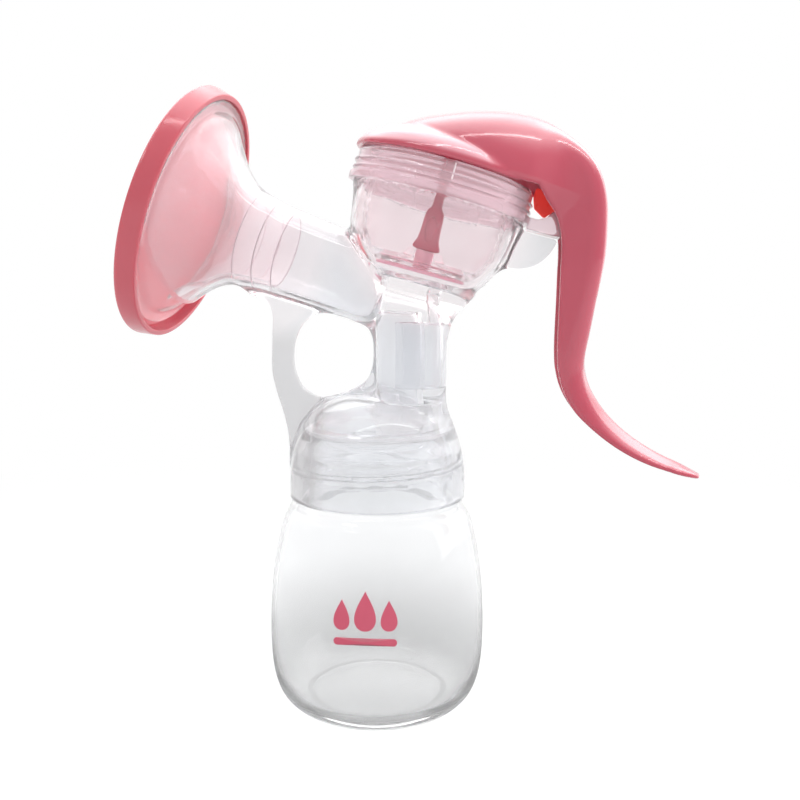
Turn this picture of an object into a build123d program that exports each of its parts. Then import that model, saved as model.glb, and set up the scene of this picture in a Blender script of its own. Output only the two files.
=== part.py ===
from build123d import *
import math
import os

# Manual breast pump, millimetres, +Z up. Origin: centre of the bottle's base
# face. The mouth of the shield points to -X, the squeeze handle is on +X, and
# y = 0 is the symmetry plane of everything above the bottle.

# ---- driving dimensions ----
# bottle and collar
NECK_R = 20.3            # bottle neck, below the thread
NECK_WALL = 1.6
NECK_TOP = 79.4          # height of the bottle's lip
THREAD_PITCH = 4.5
THREAD_TURNS = 2.25
THREAD_Z = 64.6          # start of the bottle's thread
THREAD_H = 1.5           # how far the bottle's thread stands out
THREAD_ROOM = 0.55       # radial gap from the bottle's thread to the collar's bore
COLLAR_R = 25.6          # outside of the collar at its lower edge
COLLAR_Z = 61.2          # lower edge of the collar
COLLAR_BORE_R = NECK_R + THREAD_H + THREAD_ROOM
LEDGE_Z = NECK_TOP + 1.7     # ledge inside the collar, over the seal
SEAL_GAP = 0.08          # above and below the seal

# shield and its arm
SHIELD_BACK = (-53.8, 0.0, 141.88)   # back face of the shield's flange, on its axis
SHIELD_TILT = 0.34       # rad, the arm drops toward the pump
FLANGE_R = 34.4
CUSHION_GAP = 0.12       # between the cushion and the shield

# head: cup, ring and domed lid
HEAD_CENTRE = (17.85, 0.0, 148.86)   # middle plane of the retaining ring, on its axis
HEAD_TILT = 0.26         # rad, the head leans toward +X
DOME_R = 26.4

# vertical neck of the pump body
NECK_X = 9.7             # centre of the neck
NECK_TUBE_R = 10.1
NECK_TUBE_Z = 82.0       # lower end of its straight tube
NECK_TUBE_H = 20.0
DRAIN_X = 6.4            # centre of the drain tube inside the neck
DRAIN_R = 7.3
DRAIN_WALL = 1.4

# handle and its pins
PIVOT = (54.5, 139.0)    # (x, z) of the handle's axis, parallel to Y
HANDLE_HALF = 8.0        # half width of the handle
CHANNEL_HALF = 6.2       # half width of the handle's open channel
STROKE_ANGLE = math.radians(18.0)    # swing of the handle
PIVOT_PIN_R = 1.8
ROD_PIN_R = 1.5
ROD_PIN_RISE = 10.5      # height of the rod's pin over the ring's middle plane
KNUCKLE_R = 3.8
THROUGH = 30.0           # length of a cutter that passes right through

ON_BASE = (Align.CENTER, Align.CENTER, Align.MIN)
HEAD_AXIS = (math.sin(HEAD_TILT), 0, math.cos(HEAD_TILT))
HEAD_LATERAL = (math.cos(HEAD_TILT), 0, -math.sin(HEAD_TILT))
ARM_AXIS = (math.cos(SHIELD_TILT), 0, -math.sin(SHIELD_TILT))
ARM_UP = (math.sin(SHIELD_TILT), 0, math.cos(SHIELD_TILT))


# ---- shared shapes and frames ----
def face_of(points, curves=()):
    """Closed face in the XZ plane. curves: (first, last) index ranges of the
    points that are joined by one smooth curve instead of lines."""
    corners = [(x, 0, z) for x, z in points]
    curve_ends = dict(curves)
    edges = []
    i = 0
    while i < len(corners):
        if i in curve_ends:
            last = curve_ends[i]
            edges.append(Spline(*corners[i:last + 1]))
            i = last
        else:
            edges.append(Line(corners[i], corners[(i + 1) % len(corners)]))
            i += 1
    return make_face(edges)


def lathe(points, curves=()):
    """Solid of revolution about Z from (radius, z) points."""
    return revolve(face_of(points, curves), Axis.Z)


def thicken(face, half):
    """Plate from y = -half to +half."""
    return extrude(face, amount=half, dir=(0, 1, 0), both=True)


def slab(points, half, curves=()):
    """Plate with an outline of (x, z) points."""
    return thicken(face_of(points, curves), half)


def upright(x, z, radius, height):
    """Vertical cylinder standing on height z."""
    return Pos(x, 0, z) * Cylinder(radius, height, align=ON_BASE)


def crosswise(centre, radius, length):
    """Cylinder along Y, centred on the (x, z) point."""
    return Pos(centre[0], 0, centre[1]) * Rot(90, 0, 0) * Cylinder(radius, length)


def head(solid):
    """From head coordinates (x = lateral, z = along the head's axis)."""
    return Plane(origin=HEAD_CENTRE, x_dir=HEAD_LATERAL, z_dir=HEAD_AXIS).location * solid


def arm(solid):
    """From arm coordinates (z runs from the shield toward the pump)."""
    return Plane(origin=SHIELD_BACK, x_dir=ARM_UP, z_dir=ARM_AXIS).location * solid


def head_point(lateral, rise):
    """(x, z) of a point in the head's coordinates."""
    return (HEAD_CENTRE[0] + lateral * HEAD_LATERAL[0] + rise * HEAD_AXIS[0],
            HEAD_CENTRE[2] + lateral * HEAD_LATERAL[2] + rise * HEAD_AXIS[2])


def circle_at(centre, tilt, radius):
    """Circle on an (x, z) point, its normal leaning from +Z toward +X."""
    return Plane(origin=(centre[0], 0, centre[1]),
                 x_dir=(math.cos(tilt), 0, -math.sin(tilt)),
                 z_dir=(math.sin(tilt), 0, math.cos(tilt))) * Circle(radius)


def thread(radius, depth, root, crest, start_z, turns, inward=False):
    """Helical ridge of trapezoid section on a cylinder of this radius."""
    path = Helix(pitch=THREAD_PITCH, height=THREAD_PITCH * turns, radius=radius,
                 center=(0, 0, start_z))
    out = -1 if inward else 1
    foot = -0.35 * out       # sunk into the wall
    tip = depth * out
    section = Plane(origin=(radius, 0, start_z), x_dir=(1, 0, 0), z_dir=(0, -1, 0)) * Polygon(
        (foot, -root / 2), (tip, -crest / 2), (tip, crest / 2), (foot, root / 2), align=None)
    return sweep(section, path=path, is_frenet=True)


ROD_PIN = head_point(0, ROD_PIN_RISE)


# ---- bottle: thick round base, belly, pinched shoulder, threaded neck ----
def bottle():
    outside = [  # (radius, z)
        (0, 0.0), (21.5, 0.0), (25.2, 1.1), (28.4, 4.2), (30.2, 8.4), (31.1, 13.5),
        (31.5, 20.5), (31.4, 29.0), (30.9, 36.6), (30.2, 42.6), (29.2, 48.5), (27.7, 54.6),
        (25.9, 58.6), (24.4, 60.3), (22.4, 61.0), (20.9, 61.6), (NECK_R, 62.8),
        (NECK_R, NECK_TOP - 0.5), (NECK_R - 0.5, NECK_TOP), (0, NECK_TOP)]
    bore_r = NECK_R - NECK_WALL
    inside = [
        (0, 2.6), (19.0, 2.6), (23.6, 3.4), (27.2, 6.2), (28.9, 10.0), (29.8, 14.5),
        (30.2, 21.0), (30.1, 29.0), (29.6, 36.2), (28.9, 42.2), (27.9, 47.8), (26.4, 53.6),
        (24.6, 57.3), (22.0, 59.2), (19.9, 60.6), (bore_r, 62.6),
        (bore_r, NECK_TOP + 1), (0, NECK_TOP + 1)]
    body = lathe(outside, [(1, 16)])
    body -= lathe(inside, [(1, 15)])
    body += thread(NECK_R, THREAD_H, root=2.2, crest=1.1, start_z=THREAD_Z, turns=THREAD_TURNS)
    return body


# ---- seal washer on the bottle's lip ----
def bottle_seal():
    inner_r, outer_r = 17.7, 20.4
    low, high = NECK_TOP + SEAL_GAP, LEDGE_Z - SEAL_GAP
    ease_r, ease_z = 0.2, 0.22       # chamfer of all four corners
    return lathe([
        (inner_r + ease_r, low), (outer_r - ease_r, low),
        (outer_r, low + ease_z), (outer_r, high - ease_z),
        (outer_r - ease_r, high), (inner_r + ease_r, high),
        (inner_r, high - ease_z), (inner_r, low + ease_z)])


# ---- pump body: shield, arm, cup, neck, collar, web and rear fin in one moulding ----
def arm_shapes():
    """Shield with its arm, and the bore through both."""
    outside = [  # (radius, distance along the arm)
        (0, -2.0), (FLANGE_R - 0.3, -2.0), (FLANGE_R, -1.7), (FLANGE_R, -0.7),
        (FLANGE_R - 0.4, -0.2), (31.6, 0.0), (30.3, 1.0), (27.2, 3.0), (24.4, 5.0),
        (21.8, 7.0), (19.6, 9.0), (17.7, 11.0), (16.1, 13.0), (15.0, 15.0), (14.0, 18.0),
        (13.6, 20.5), (12.9, 24.5), (12.5, 30.7), (12.2, 37.0), (12.0, 43.0), (11.9, 52.0),
        (11.9, 55.0), (10.6, 59.6), (7.0, 62.6), (0, 63.4)]
    inside = [
        (0, -3.0), (30.5, -3.0), (30.2, -1.5), (29.3, -0.27), (26.2, 1.73), (23.4, 3.75),
        (20.8, 5.8), (18.5, 7.9), (16.5, 9.95), (14.8, 12.1), (13.5, 14.4), (12.5, 18.0),
        (12.1, 20.5), (11.4, 24.5), (11.0, 30.7), (10.7, 37.0), (10.5, 43.0), (10.4, 52.0),
        (10.4, 54.0), (9.2, 58.0), (6.0, 60.6), (0, 61.2)]
    return arm(lathe(outside, [(5, 21)])), arm(lathe(inside, [(2, 17)]))


def cup_shapes():
    """Cup under the ring, and its hollow."""
    outside = [  # (radius, rise along the head's axis)
        (0, 3.0), (23.5, 3.0), (23.8, 2.7), (23.8, -3.2), (24.9, -3.25), (24.2, -5.8),
        (23.3, -10.7), (22.8, -14.5), (21.2, -17.8), (19.4, -21.2), (17.2, -24.3),
        (15.6, -27.1), (14.0, -29.8), (12.2, -33.0), (0, -34.0)]
    inside = [
        (0, 3.5), (22.2, 3.5), (22.2, -2.0), (22.3, -3.8), (21.8, -10.6), (20.9, -15.0),
        (19.2, -18.3), (17.2, -21.6), (15.2, -24.3), (13.2, -26.2), (0, -26.4)]
    return head(lathe(outside, [(5, 13)])), head(lathe(inside, [(3, 9)]))


def neck_shape():
    """Straight tube that flares and leans into the cup."""
    tube = upright(NECK_X, NECK_TUBE_Z, NECK_TUBE_R, NECK_TUBE_H)
    stations = [  # (centre, tilt, radius)
        ((NECK_X, NECK_TUBE_Z + NECK_TUBE_H), 0, NECK_TUBE_R),
        ((NECK_X, 107.0), 0.03, 10.25),
        ((9.85, 113.3), 0.13, 11.3),
        (head_point(0, -29.8), HEAD_TILT, 13.9),
        (head_point(0, -26.6), HEAD_TILT, 15.6)]
    return tube + loft([circle_at(*station) for station in stations])


def collar_shapes():
    """Collar over the bottle's neck, and its stepped bore."""
    outside = [  # (radius, z)
        (0, COLLAR_Z), (COLLAR_R - 0.5, COLLAR_Z), (COLLAR_R, COLLAR_Z + 0.5),
        (COLLAR_R, 66.0), (25.3, 71.0), (24.7, 74.5), (24.1, 76.9), (23.3, 79.2),
        (22.2, 81.6), (20.6, 84.0), (18.4, 86.4), (15.4, 88.5), (11.5, 90.1), (6.0, 91.0),
        (0, 91.2)]
    inside = [
        (0, COLLAR_Z - 1), (COLLAR_BORE_R + 0.6, COLLAR_Z - 1),
        (COLLAR_BORE_R, COLLAR_Z + 1.2), (COLLAR_BORE_R, 75.0), (20.9, 77.8),
        (20.9, LEDGE_Z), (17.6, LEDGE_Z), (17.4, 83.0), (15.6, 85.4), (12.8, 87.2),
        (9.0, 88.5), (0, 89.2)]
    return lathe(outside, [(3, 13)]), lathe(inside, [(7, 11)])


def web_shape():
    """Flat web between the arm and the collar, with a rounded opening."""
    outline = [  # (x, z)
        (-42.0, 127.0), (-38.1, 120.7), (-33.9, 118.4), (-31.8, 116.1), (-31.2, 113.7),
        (-31.3, 109.0), (-31.4, 104.3), (-31.5, 99.6), (-31.3, 96.5), (-30.6, 93.5),
        (-29.8, 90.5), (-28.7, 87.3), (-27.8, 84.2), (-27.0, 80.6), (-26.5, 77.0),
        (-25.5, 70.0), (-20.0, 70.0), (-5.0, 82.0), (6.0, 84.0), (6.0, 120.0),
        (-5.0, 123.0), (-22.0, 128.0)]
    opening = [
        (-12.5, 115.7), (-17.6, 114.9), (-22.2, 111.5), (-24.4, 106.9), (-25.0, 102.2),
        (-24.4, 97.5), (-22.0, 92.8), (-16.5, 90.0), (-9.0, 91.6), (-3.6, 95.1),
        (-1.3, 98.8), (-0.5, 103.0), (-0.9, 107.5), (-3.4, 111.8), (-7.7, 114.8)]
    rim = Spline(*[(x, 0, z) for x, z in opening], periodic=True)
    return slab(outline, 1.8, [(1, 15)]) - thicken(make_face(rim), 4.0)


def fin_shape():
    """Thin fin on the +X side of the cup."""
    outline = [  # (x, z)
        (30.0, 140.0), (31.0, 127.0), (36.1, 127.6), (39.0, 127.2), (41.7, 127.4),
        (44.5, 128.3), (47.2, 130.2), (49.4, 132.9), (50.4, 134.9), (50.0, 135.4),
        (39.9, 138.1)]
    return slab(outline, 1.5, [(2, 8)])


def pump_body():
    arm_body, arm_bore = arm_shapes()
    cup_body, cup_bore = cup_shapes()
    collar_body, collar_bore = collar_shapes()
    # air channel in the neck, beside the drain tube
    air = upright(NECK_X, 93.5, radius=8.6, height=19.0)
    air -= upright(DRAIN_X, 90.0, radius=DRAIN_R, height=24.0)

    pump = arm_body + cup_body + neck_shape() + collar_body + web_shape() + fin_shape()
    pump -= arm_bore
    pump -= cup_bore
    pump -= collar_bore
    pump -= air
    # room for the valve, then its spigot inside the collar and the drain's bore
    pump -= upright(DRAIN_X, 82.0, radius=10.2, height=6.6)
    pump += upright(DRAIN_X, 84.6, radius=DRAIN_R, height=7.0)
    pump -= upright(DRAIN_X, 83.0, radius=DRAIN_R - DRAIN_WALL, height=33.0)
    # port from the cup's floor down to the air channel
    pump -= upright(15.2, 108.0, radius=1.6, height=20.0)
    pump += thread(COLLAR_BORE_R, THREAD_H - 0.15, root=1.6, crest=0.8,
                   start_z=THREAD_Z + THREAD_PITCH / 2, turns=1.5, inward=True)
    return pump


# ---- silicone duckbill valve pushed over the spigot ----
def duckbill_valve():
    socket_r = DRAIN_R + 0.05
    bill_z = 73.8            # where the cutters of the bill start
    bill_slope = 0.5         # rad
    valve = lathe([  # (radius, z)
        (0, 74.2), (1.9, 74.2), (7.0, 82.0), (8.6, 82.8), (8.6, 86.0), (9.9, 86.4),
        (9.9, 88.1), (9.5, 88.4), (0, 88.4)])
    valve -= lathe([
        (0, 76.2), (1.0, 76.2), (6.0, 83.2), (socket_r, 84.4), (socket_r, 89.0), (0, 89.0)])
    # sloping cuts flatten the bill on both Y sides, and a slit along X opens it
    for side in (1, -1):
        cut = Plane(origin=(0, side * 5.3, bill_z), x_dir=(1, 0, 0),
                    z_dir=(0, side * math.cos(bill_slope), -math.sin(bill_slope)))
        valve -= cut.location * Box(30, 30, 6, align=ON_BASE)
    valve -= Pos(0, 0, bill_z) * Box(2.6, 0.25, 8.0, align=ON_BASE)
    return Pos(DRAIN_X, 0, 0) * valve


# ---- silicone massage cushion lining the shield ----
def massage_cushion():
    # all outlines: (radius, distance along the arm)
    lip = [(32.6, -3.0), (32.8, -2.6), (32.6, -2.15)]
    against_shield = [  # before the gap is taken off the radius
        (30.2, -2.15), (30.05, -1.5), (29.15, -0.35), (26.05, 1.65), (23.25, 3.67),
        (20.65, 5.72), (18.35, 7.82), (16.4, 9.87), (14.7, 12.05), (13.43, 14.4),
        (12.47, 18.0), (12.1, 20.5), (11.4, 24.5), (11.15, 28.2)]
    inside = [
        (9.9, 28.4), (9.6, 28.0), (10.0, 24.3), (10.6, 20.2), (10.95, 17.6), (11.9, 13.8),
        (13.3, 11.1), (15.15, 8.75), (17.25, 6.6), (19.65, 4.4), (22.35, 2.35), (25.1, 0.3),
        (27.6, -1.6), (28.6, -3.0), (29.4, -3.35)]
    outside = [(radius - CUSHION_GAP, z) for radius, z in against_shield]
    return arm(lathe(lip + outside + inside, [(4, 16), (18, 29)]))


# ---- dust cover clipped over the flange ----
def dust_cover():
    return arm(lathe([  # (radius, distance along the arm)
        (0, -6.4), (20.0, -6.35), (33.5, -6.2), (36.2, -5.9), (37.2, -5.1), (36.95, -3.0),
        (36.05, -0.1), (35.6, 0.25), (34.7, 0.25), (34.56, 0.05), (34.56, -4.0),
        (33.6, -4.9), (20.0, -5.0), (0, -5.0)]))


# ---- retaining ring with ribs and the rear knuckle ----
def retaining_ring():
    tab_half = 4.6
    ring = head(lathe([  # (radius, rise)
        (21.4, 4.75), (24.0, 4.75), (24.0, -3.0), (26.0, -3.0), (26.4, -2.6), (26.4, -1.0),
        (25.9, -0.6), (25.5, -0.4), (25.5, 0.0), (25.9, 0.25), (25.9, 0.6), (25.4, 0.9),
        (25.4, 1.9), (25.8, 2.15), (25.8, 2.5), (25.3, 2.8), (25.2, 5.3), (24.7, 5.9),
        (21.4, 5.9)]))
    # the pivot in head coordinates
    dx, dz = PIVOT[0] - HEAD_CENTRE[0], PIVOT[1] - HEAD_CENTRE[2]
    pivot_lateral = dx * HEAD_LATERAL[0] + dz * HEAD_LATERAL[2]
    pivot_rise = dx * HEAD_AXIS[0] + dz * HEAD_AXIS[2]
    tab_outline = [  # (lateral, rise)
        (24.3, -0.6), (24.3, -4.1), (26.0, -4.1), (34.0, -4.1),
        (pivot_lateral, pivot_rise - KNUCKLE_R), (pivot_lateral, pivot_rise + KNUCKLE_R),
        (33.4, 2.7), (31.6, 2.3), (30.6, 0.2), (28.0, -0.9)]
    tab = slab([head_point(*point) for point in tab_outline], tab_half)
    tab = tab + crosswise(PIVOT, KNUCKLE_R, 2 * tab_half)
    # keep the tab out of the ring's opening
    tab -= head(Cylinder(25.1, 20.0))
    ring = ring + tab
    ring -= crosswise(PIVOT, PIVOT_PIN_R + 0.06, THROUGH)
    return ring


# ---- silicone diaphragm: clamped rim, deep wall, boss round the rod ----
def diaphragm():
    return head(lathe([  # (radius, rise)
        (23.3, 3.15), (23.5, 3.4), (23.5, 4.4), (23.3, 4.65), (20.2, 4.65), (19.7, 4.2),
        (19.3, -3.9), (18.8, -11.2), (16.9, -17.4), (13.4, -20.4), (7.4, -21.0),
        (5.2, -17.9), (4.7, -17.4), (2.7, -17.4), (2.7, -22.2), (13.6, -22.2),
        (15.0, -21.3), (18.0, -17.9), (19.9, -11.2), (20.4, -3.9), (21.0, 2.4),
        (21.6, 3.15)]))


# ---- piston disc under the diaphragm, with its stud ----
def piston_disc():
    return head(lathe([  # (radius, rise)
        (0, -23.4), (12.6, -23.4), (13.0, -23.1), (13.0, -22.6), (12.7, -22.3),
        (2.6, -22.3), (2.6, -17.6), (2.3, -17.2), (0, -17.2)]))


# ---- connecting rod: flat stem, shoulders and a slotted head for the pin ----
def connecting_rod():
    # lateral travel of the rod's pin as the handle swings about its pivot
    arm_x, arm_z = ROD_PIN[0] - PIVOT[0], ROD_PIN[1] - PIVOT[1]
    sine, versine = math.sin(STROKE_ANGLE), math.cos(STROKE_ANGLE) - 1
    dx = arm_x * versine + arm_z * sine
    dz = -arm_x * sine + arm_z * versine
    travel = dx * HEAD_LATERAL[0] + dz * HEAD_LATERAL[2]
    rod = slab([  # (lateral, rise)
        (-2.6, -17.1), (-3.85, -16.3), (-3.6, -15.0), (-2.9, -13.0), (-2.7, -11.0),
        (-2.55, -6.0), (-1.45, -4.0), (-1.3, -0.5), (-1.6, 4.0), (-2.2, 7.0), (-3.4, 8.6),
        (-3.4, 12.6), (-2.6, 13.4), (travel + 2.6, 13.4), (travel + 3.4, 12.6),
        (travel + 3.4, 8.6), (travel + 2.6, 7.8), (3.4, 7.4), (1.8, 4.0), (1.3, -0.5),
        (1.45, -4.0), (2.55, -6.0), (2.7, -11.0), (2.9, -13.0), (3.6, -15.0),
        (3.85, -16.3), (2.6, -17.1)], 1.9)
    slot_r = ROD_PIN_R + 0.32
    slot_half = 5.0          # half depth of the slot's cutter along Y
    start, end = -0.4, travel + 0.4
    low, high = ROD_PIN_RISE - slot_r, ROD_PIN_RISE + slot_r
    slot = slab([(start, low), (end, low), (end, high), (start, high)], slot_half)
    for lateral in (start, end):
        slot += crosswise((lateral, ROD_PIN_RISE), slot_r, 2 * slot_half)
    rod -= slot
    return head(rod)


# ---- handle: domed lid, spine and grip as one channel-shaped lever ----
HANDLE_OUTER = [  # (x, z), over the top from the lid, then down to the grip's tip
    (-8.2, 158.6), (-5.4, 162.6), (-1.1, 165.6), (7.1, 167.8), (13.1, 169.1), (18.9, 169.9),
    (25.6, 170.6), (31.2, 170.7), (36.7, 170.4), (44.1, 169.0), (48.8, 167.0), (54.7, 162.7),
    (59.4, 157.9), (62.3, 152.7), (63.9, 146.3), (64.2, 139.3), (63.9, 131.0), (62.9, 124.5),
    (61.7, 118.0), (60.4, 109.9), (59.3, 103.5), (59.1, 100.5), (59.9, 97.6), (62.2, 92.9),
    (66.2, 87.4), (72.6, 80.8), (80.5, 76.1), (86.5, 73.4), (91.2, 70.9)]
HANDLE_INNER = [  # (x, z), back up from the tip to the lid
    (90.6, 69.3), (82.6, 71.4), (75.3, 73.9), (68.5, 77.4), (62.2, 81.9), (56.9, 86.8),
    (54.4, 90.2), (52.3, 94.6), (51.1, 99.5), (50.7, 105.1), (50.8, 111.9), (51.0, 118.7),
    (51.1, 126.0), (51.2, 133.0), (50.9, 137.2), (49.6, 141.9), (46.6, 146.6), (42.5, 150.6),
    (39.0, 153.4), (35.5, 155.6)]


def moved_in(points, amounts):
    """Each point moved by its amount to the right of the polyline's direction."""
    moved = []
    for i, ((x, z), amount) in enumerate(zip(points, amounts)):
        before = points[max(0, i - 1)]
        after = points[min(len(points) - 1, i + 1)]
        dx, dz = after[0] - before[0], after[1] - before[1]
        length = math.hypot(dx, dz)
        moved.append((x + amount * dz / length, z - amount * dx / length))
    return moved


def spine_shape():
    """Spine and grip, the outer corners eased toward both side faces."""
    flat_half = HANDLE_HALF - 2.8
    ease = 2.4               # fades out toward both ends of the outer edge
    inside_lid = [head_point(lateral, 9.0) for lateral in (14.0, 0.0, -14.0)]
    closing = HANDLE_INNER + inside_lid
    curves = [(1, 27), (29, 47)]
    last = len(HANDLE_OUTER) - 1
    amounts = [ease * max(0.0, min(1.0, (i - 1) / 4.0, (last - i) / 5.0))
               for i in range(last + 1)]
    near = face_of(HANDLE_OUTER + closing, curves)
    far = face_of(moved_in(HANDLE_OUTER, amounts) + closing, curves)
    spine = slab(HANDLE_OUTER + closing, flat_half, curves)
    for side in (1, -1):
        spine += loft([Pos(0, side * flat_half, 0) * near, Pos(0, side * HANDLE_HALF, 0) * far],
                      ruled=True)
    return spine


def channel_shape():
    """Hollow of the handle, open on its inner side."""
    roof_thickness = 2.0
    under_roof = HANDLE_OUTER[2:25]
    roof = moved_in(under_roof, [roof_thickness] * len(under_roof))
    open_side = [  # (x, z)
        (57.5, 78.0), (50.0, 88.0), (46.5, 96.0), (46.0, 110.0), (46.5, 133.0),
        (45.5, 140.0), (40.0, 147.0), (33.0, 151.0)]
    floor = [head_point(14.0, 7.5), head_point(-13.0, 7.5)]
    return slab(roof + open_side + floor, CHANNEL_HALF, [(0, len(roof) - 1)])


def handle():
    dome = head(lathe([  # (radius, rise)
        (0, 6.0), (26.2, 6.0), (DOME_R, 6.3), (26.2, 7.6), (24.6, 9.8), (21.4, 12.0),
        (16.6, 13.9), (10.0, 15.2), (0, 15.8)]))
    dome_hollow = head(lathe([
        (0, 5.0), (24.6, 5.0), (24.6, 6.3), (24.3, 7.2), (22.9, 8.8), (20.2, 10.5),
        (15.8, 12.2), (9.6, 13.4), (0, 14.0)]))
    lug_outline = [  # (lateral, rise)
        (-3.6, 15.5), (-3.6, 9.4), (-1.8, 7.6), (1.8, 7.6), (3.6, 9.4), (3.6, 15.5)]
    lug = slab([head_point(*point) for point in lug_outline], 1.3)

    lever = spine_shape() + dome
    lever -= dome_hollow
    lever -= channel_shape()
    # lugs that carry the rod's pin
    for y in (-5.7, 5.7):
        lever += Pos(0, y, 0) * lug
    lever -= crosswise(ROD_PIN, ROD_PIN_R + 0.02, 14.5)
    # clear the space of the retaining ring
    lever -= head(Pos(0, 0, -1.0) * Cylinder(27.2, 14.0))
    lever -= crosswise(PIVOT, PIVOT_PIN_R + 0.02, THROUGH)
    return lever


# ---- pins ----
def rod_pin():
    return crosswise(ROD_PIN, ROD_PIN_R, 14.0)


def pivot_pin():
    return crosswise(PIVOT, PIVOT_PIN_R, 15.6)


# each piece is named after its function
os.makedirs("parts", exist_ok=True)
for build in (bottle, bottle_seal, pump_body, duckbill_valve, massage_cushion, dust_cover,
              retaining_ring, diaphragm, piston_disc, connecting_rod, handle, rod_pin,
              pivot_pin):
    piece = build()
    piece.label = build.__name__
    export_step(piece, f"parts/{piece.label}.step")
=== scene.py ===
"""Hand breast pump, standing on its bottle.

The bottle's axis is +Z and its base is at z = 0. The wide funnel opens towards -X, the round
head sits above the neck and leans towards +X, and the lever hangs from it on the +X side.
The front, where the camera stands, is -Y. Shapes are worked out in mm and built in metres.
"""
import itertools
import math

import bpy
import numpy as np
from mathutils import Matrix, Vector


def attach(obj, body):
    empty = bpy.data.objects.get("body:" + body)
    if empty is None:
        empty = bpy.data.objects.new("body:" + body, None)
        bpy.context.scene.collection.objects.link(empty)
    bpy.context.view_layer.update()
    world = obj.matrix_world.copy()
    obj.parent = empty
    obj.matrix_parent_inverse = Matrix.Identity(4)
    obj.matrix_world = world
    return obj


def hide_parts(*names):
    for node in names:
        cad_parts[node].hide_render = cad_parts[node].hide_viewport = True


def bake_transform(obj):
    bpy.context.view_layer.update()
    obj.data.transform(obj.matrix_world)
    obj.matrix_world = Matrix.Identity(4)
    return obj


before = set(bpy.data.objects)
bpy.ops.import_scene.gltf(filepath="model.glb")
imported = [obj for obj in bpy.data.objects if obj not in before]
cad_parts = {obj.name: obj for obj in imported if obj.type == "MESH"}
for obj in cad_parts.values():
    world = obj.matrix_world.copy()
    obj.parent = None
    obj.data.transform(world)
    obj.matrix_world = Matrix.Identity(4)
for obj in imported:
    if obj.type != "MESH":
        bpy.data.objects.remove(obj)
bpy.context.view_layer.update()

MM = 0.001
scene = bpy.context.scene

# ---------------------------------------------------------------- driving dimensions (mm, radians)
X_AXIS, Y_AXIS, Z_AXIS = np.eye(3)
HEAD_TILT, ARM_TILT = 0.26, 0.34
# a frame is its origin, its axis and the direction across the axis where angles start
HEAD = np.array((17.85, 0.0, 148.86))
HEAD_AXIS = np.array((math.sin(HEAD_TILT), 0.0, math.cos(HEAD_TILT)))
HEAD_SIDE = np.array((math.cos(HEAD_TILT), 0.0, -math.sin(HEAD_TILT)))
ARM = np.array((-53.8, 0.0, 141.88))
ARM_AXIS = np.array((math.cos(ARM_TILT), 0.0, -math.sin(ARM_TILT)))
ARM_SIDE = np.array((math.sin(ARM_TILT), 0.0, math.cos(ARM_TILT)))
BASE_FRAME = (np.zeros(3), Z_AXIS, X_AXIS)
HEAD_FRAME = (HEAD, HEAD_AXIS, HEAD_SIDE)
ARM_FRAME = (ARM, ARM_AXIS, ARM_SIDE)

PIVOT = np.array((54.5, 0.0, 139.0))
PIN_HEIGHT = 10.5  # rod pin, along the head's axis
ROD_PIN = HEAD + PIN_HEIGHT * HEAD_AXIS

NECK_RADIUS, NECK_BORE, NECK_TOP = 20.3, 20.3 - 1.6, 79.4
THREAD_START, THREAD_PITCH, THREAD_HEIGHT, THREAD_TURNS = 64.6, 4.5, 1.5, 2.25
DRAIN_X, DRAIN_RADIUS, SPIGOT_RADIUS = 6.4, 5.9, 7.3


def head_point(side, height):
    """(x, z) of a point given across and along the head's axis."""
    point = HEAD + side * HEAD_SIDE + height * HEAD_AXIS
    return (float(point[0]), float(point[2]))


# ---------------------------------------------------------------- curves
def spline(points, steps=8):
    """Centripetal Catmull-Rom curve through the points, with this many steps a span."""
    P = np.array(points, float)
    P = np.vstack([2 * P[0] - P[1], P, 2 * P[-1] - P[-2]])

    def between(a, b, time_a, time_b, t):
        return (time_b - t) / (time_b - time_a) * a + (t - time_a) / (time_b - time_a) * b

    curve = []
    for i in range(len(P) - 3):
        p0, p1, p2, p3 = P[i:i + 4]
        t0 = 0.0
        t1 = t0 + np.linalg.norm(p1 - p0) ** 0.5
        t2 = t1 + np.linalg.norm(p2 - p1) ** 0.5
        t3 = t2 + np.linalg.norm(p3 - p2) ** 0.5
        for k in range(steps):
            t = t1 + (t2 - t1) * k / steps
            a1 = between(p0, p1, t0, t1, t)
            a2 = between(p1, p2, t1, t2, t)
            a3 = between(p2, p3, t2, t3, t)
            b1 = between(a1, a2, t0, t2, t)
            b2 = between(a2, a3, t1, t3, t)
            curve.append(between(b1, b2, t1, t2, t))
    curve.append(P[-2])
    return [tuple(float(v) for v in p) for p in curve]


def resample(points, step):
    """Evenly spaced points, about step apart, along a polyline."""
    P = np.array(points, float)
    lengths = np.linalg.norm(np.diff(P, axis=0), axis=1)
    travelled = np.concatenate([[0], np.cumsum(lengths)])
    count = max(2, int(round(travelled[-1] / step)) + 1)
    t = np.linspace(0, travelled[-1], count)
    columns = [np.interp(t, travelled, P[:, k]) for k in range(P.shape[1])]
    return [tuple(float(v) for v in row) for row in np.stack(columns, 1)]


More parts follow.
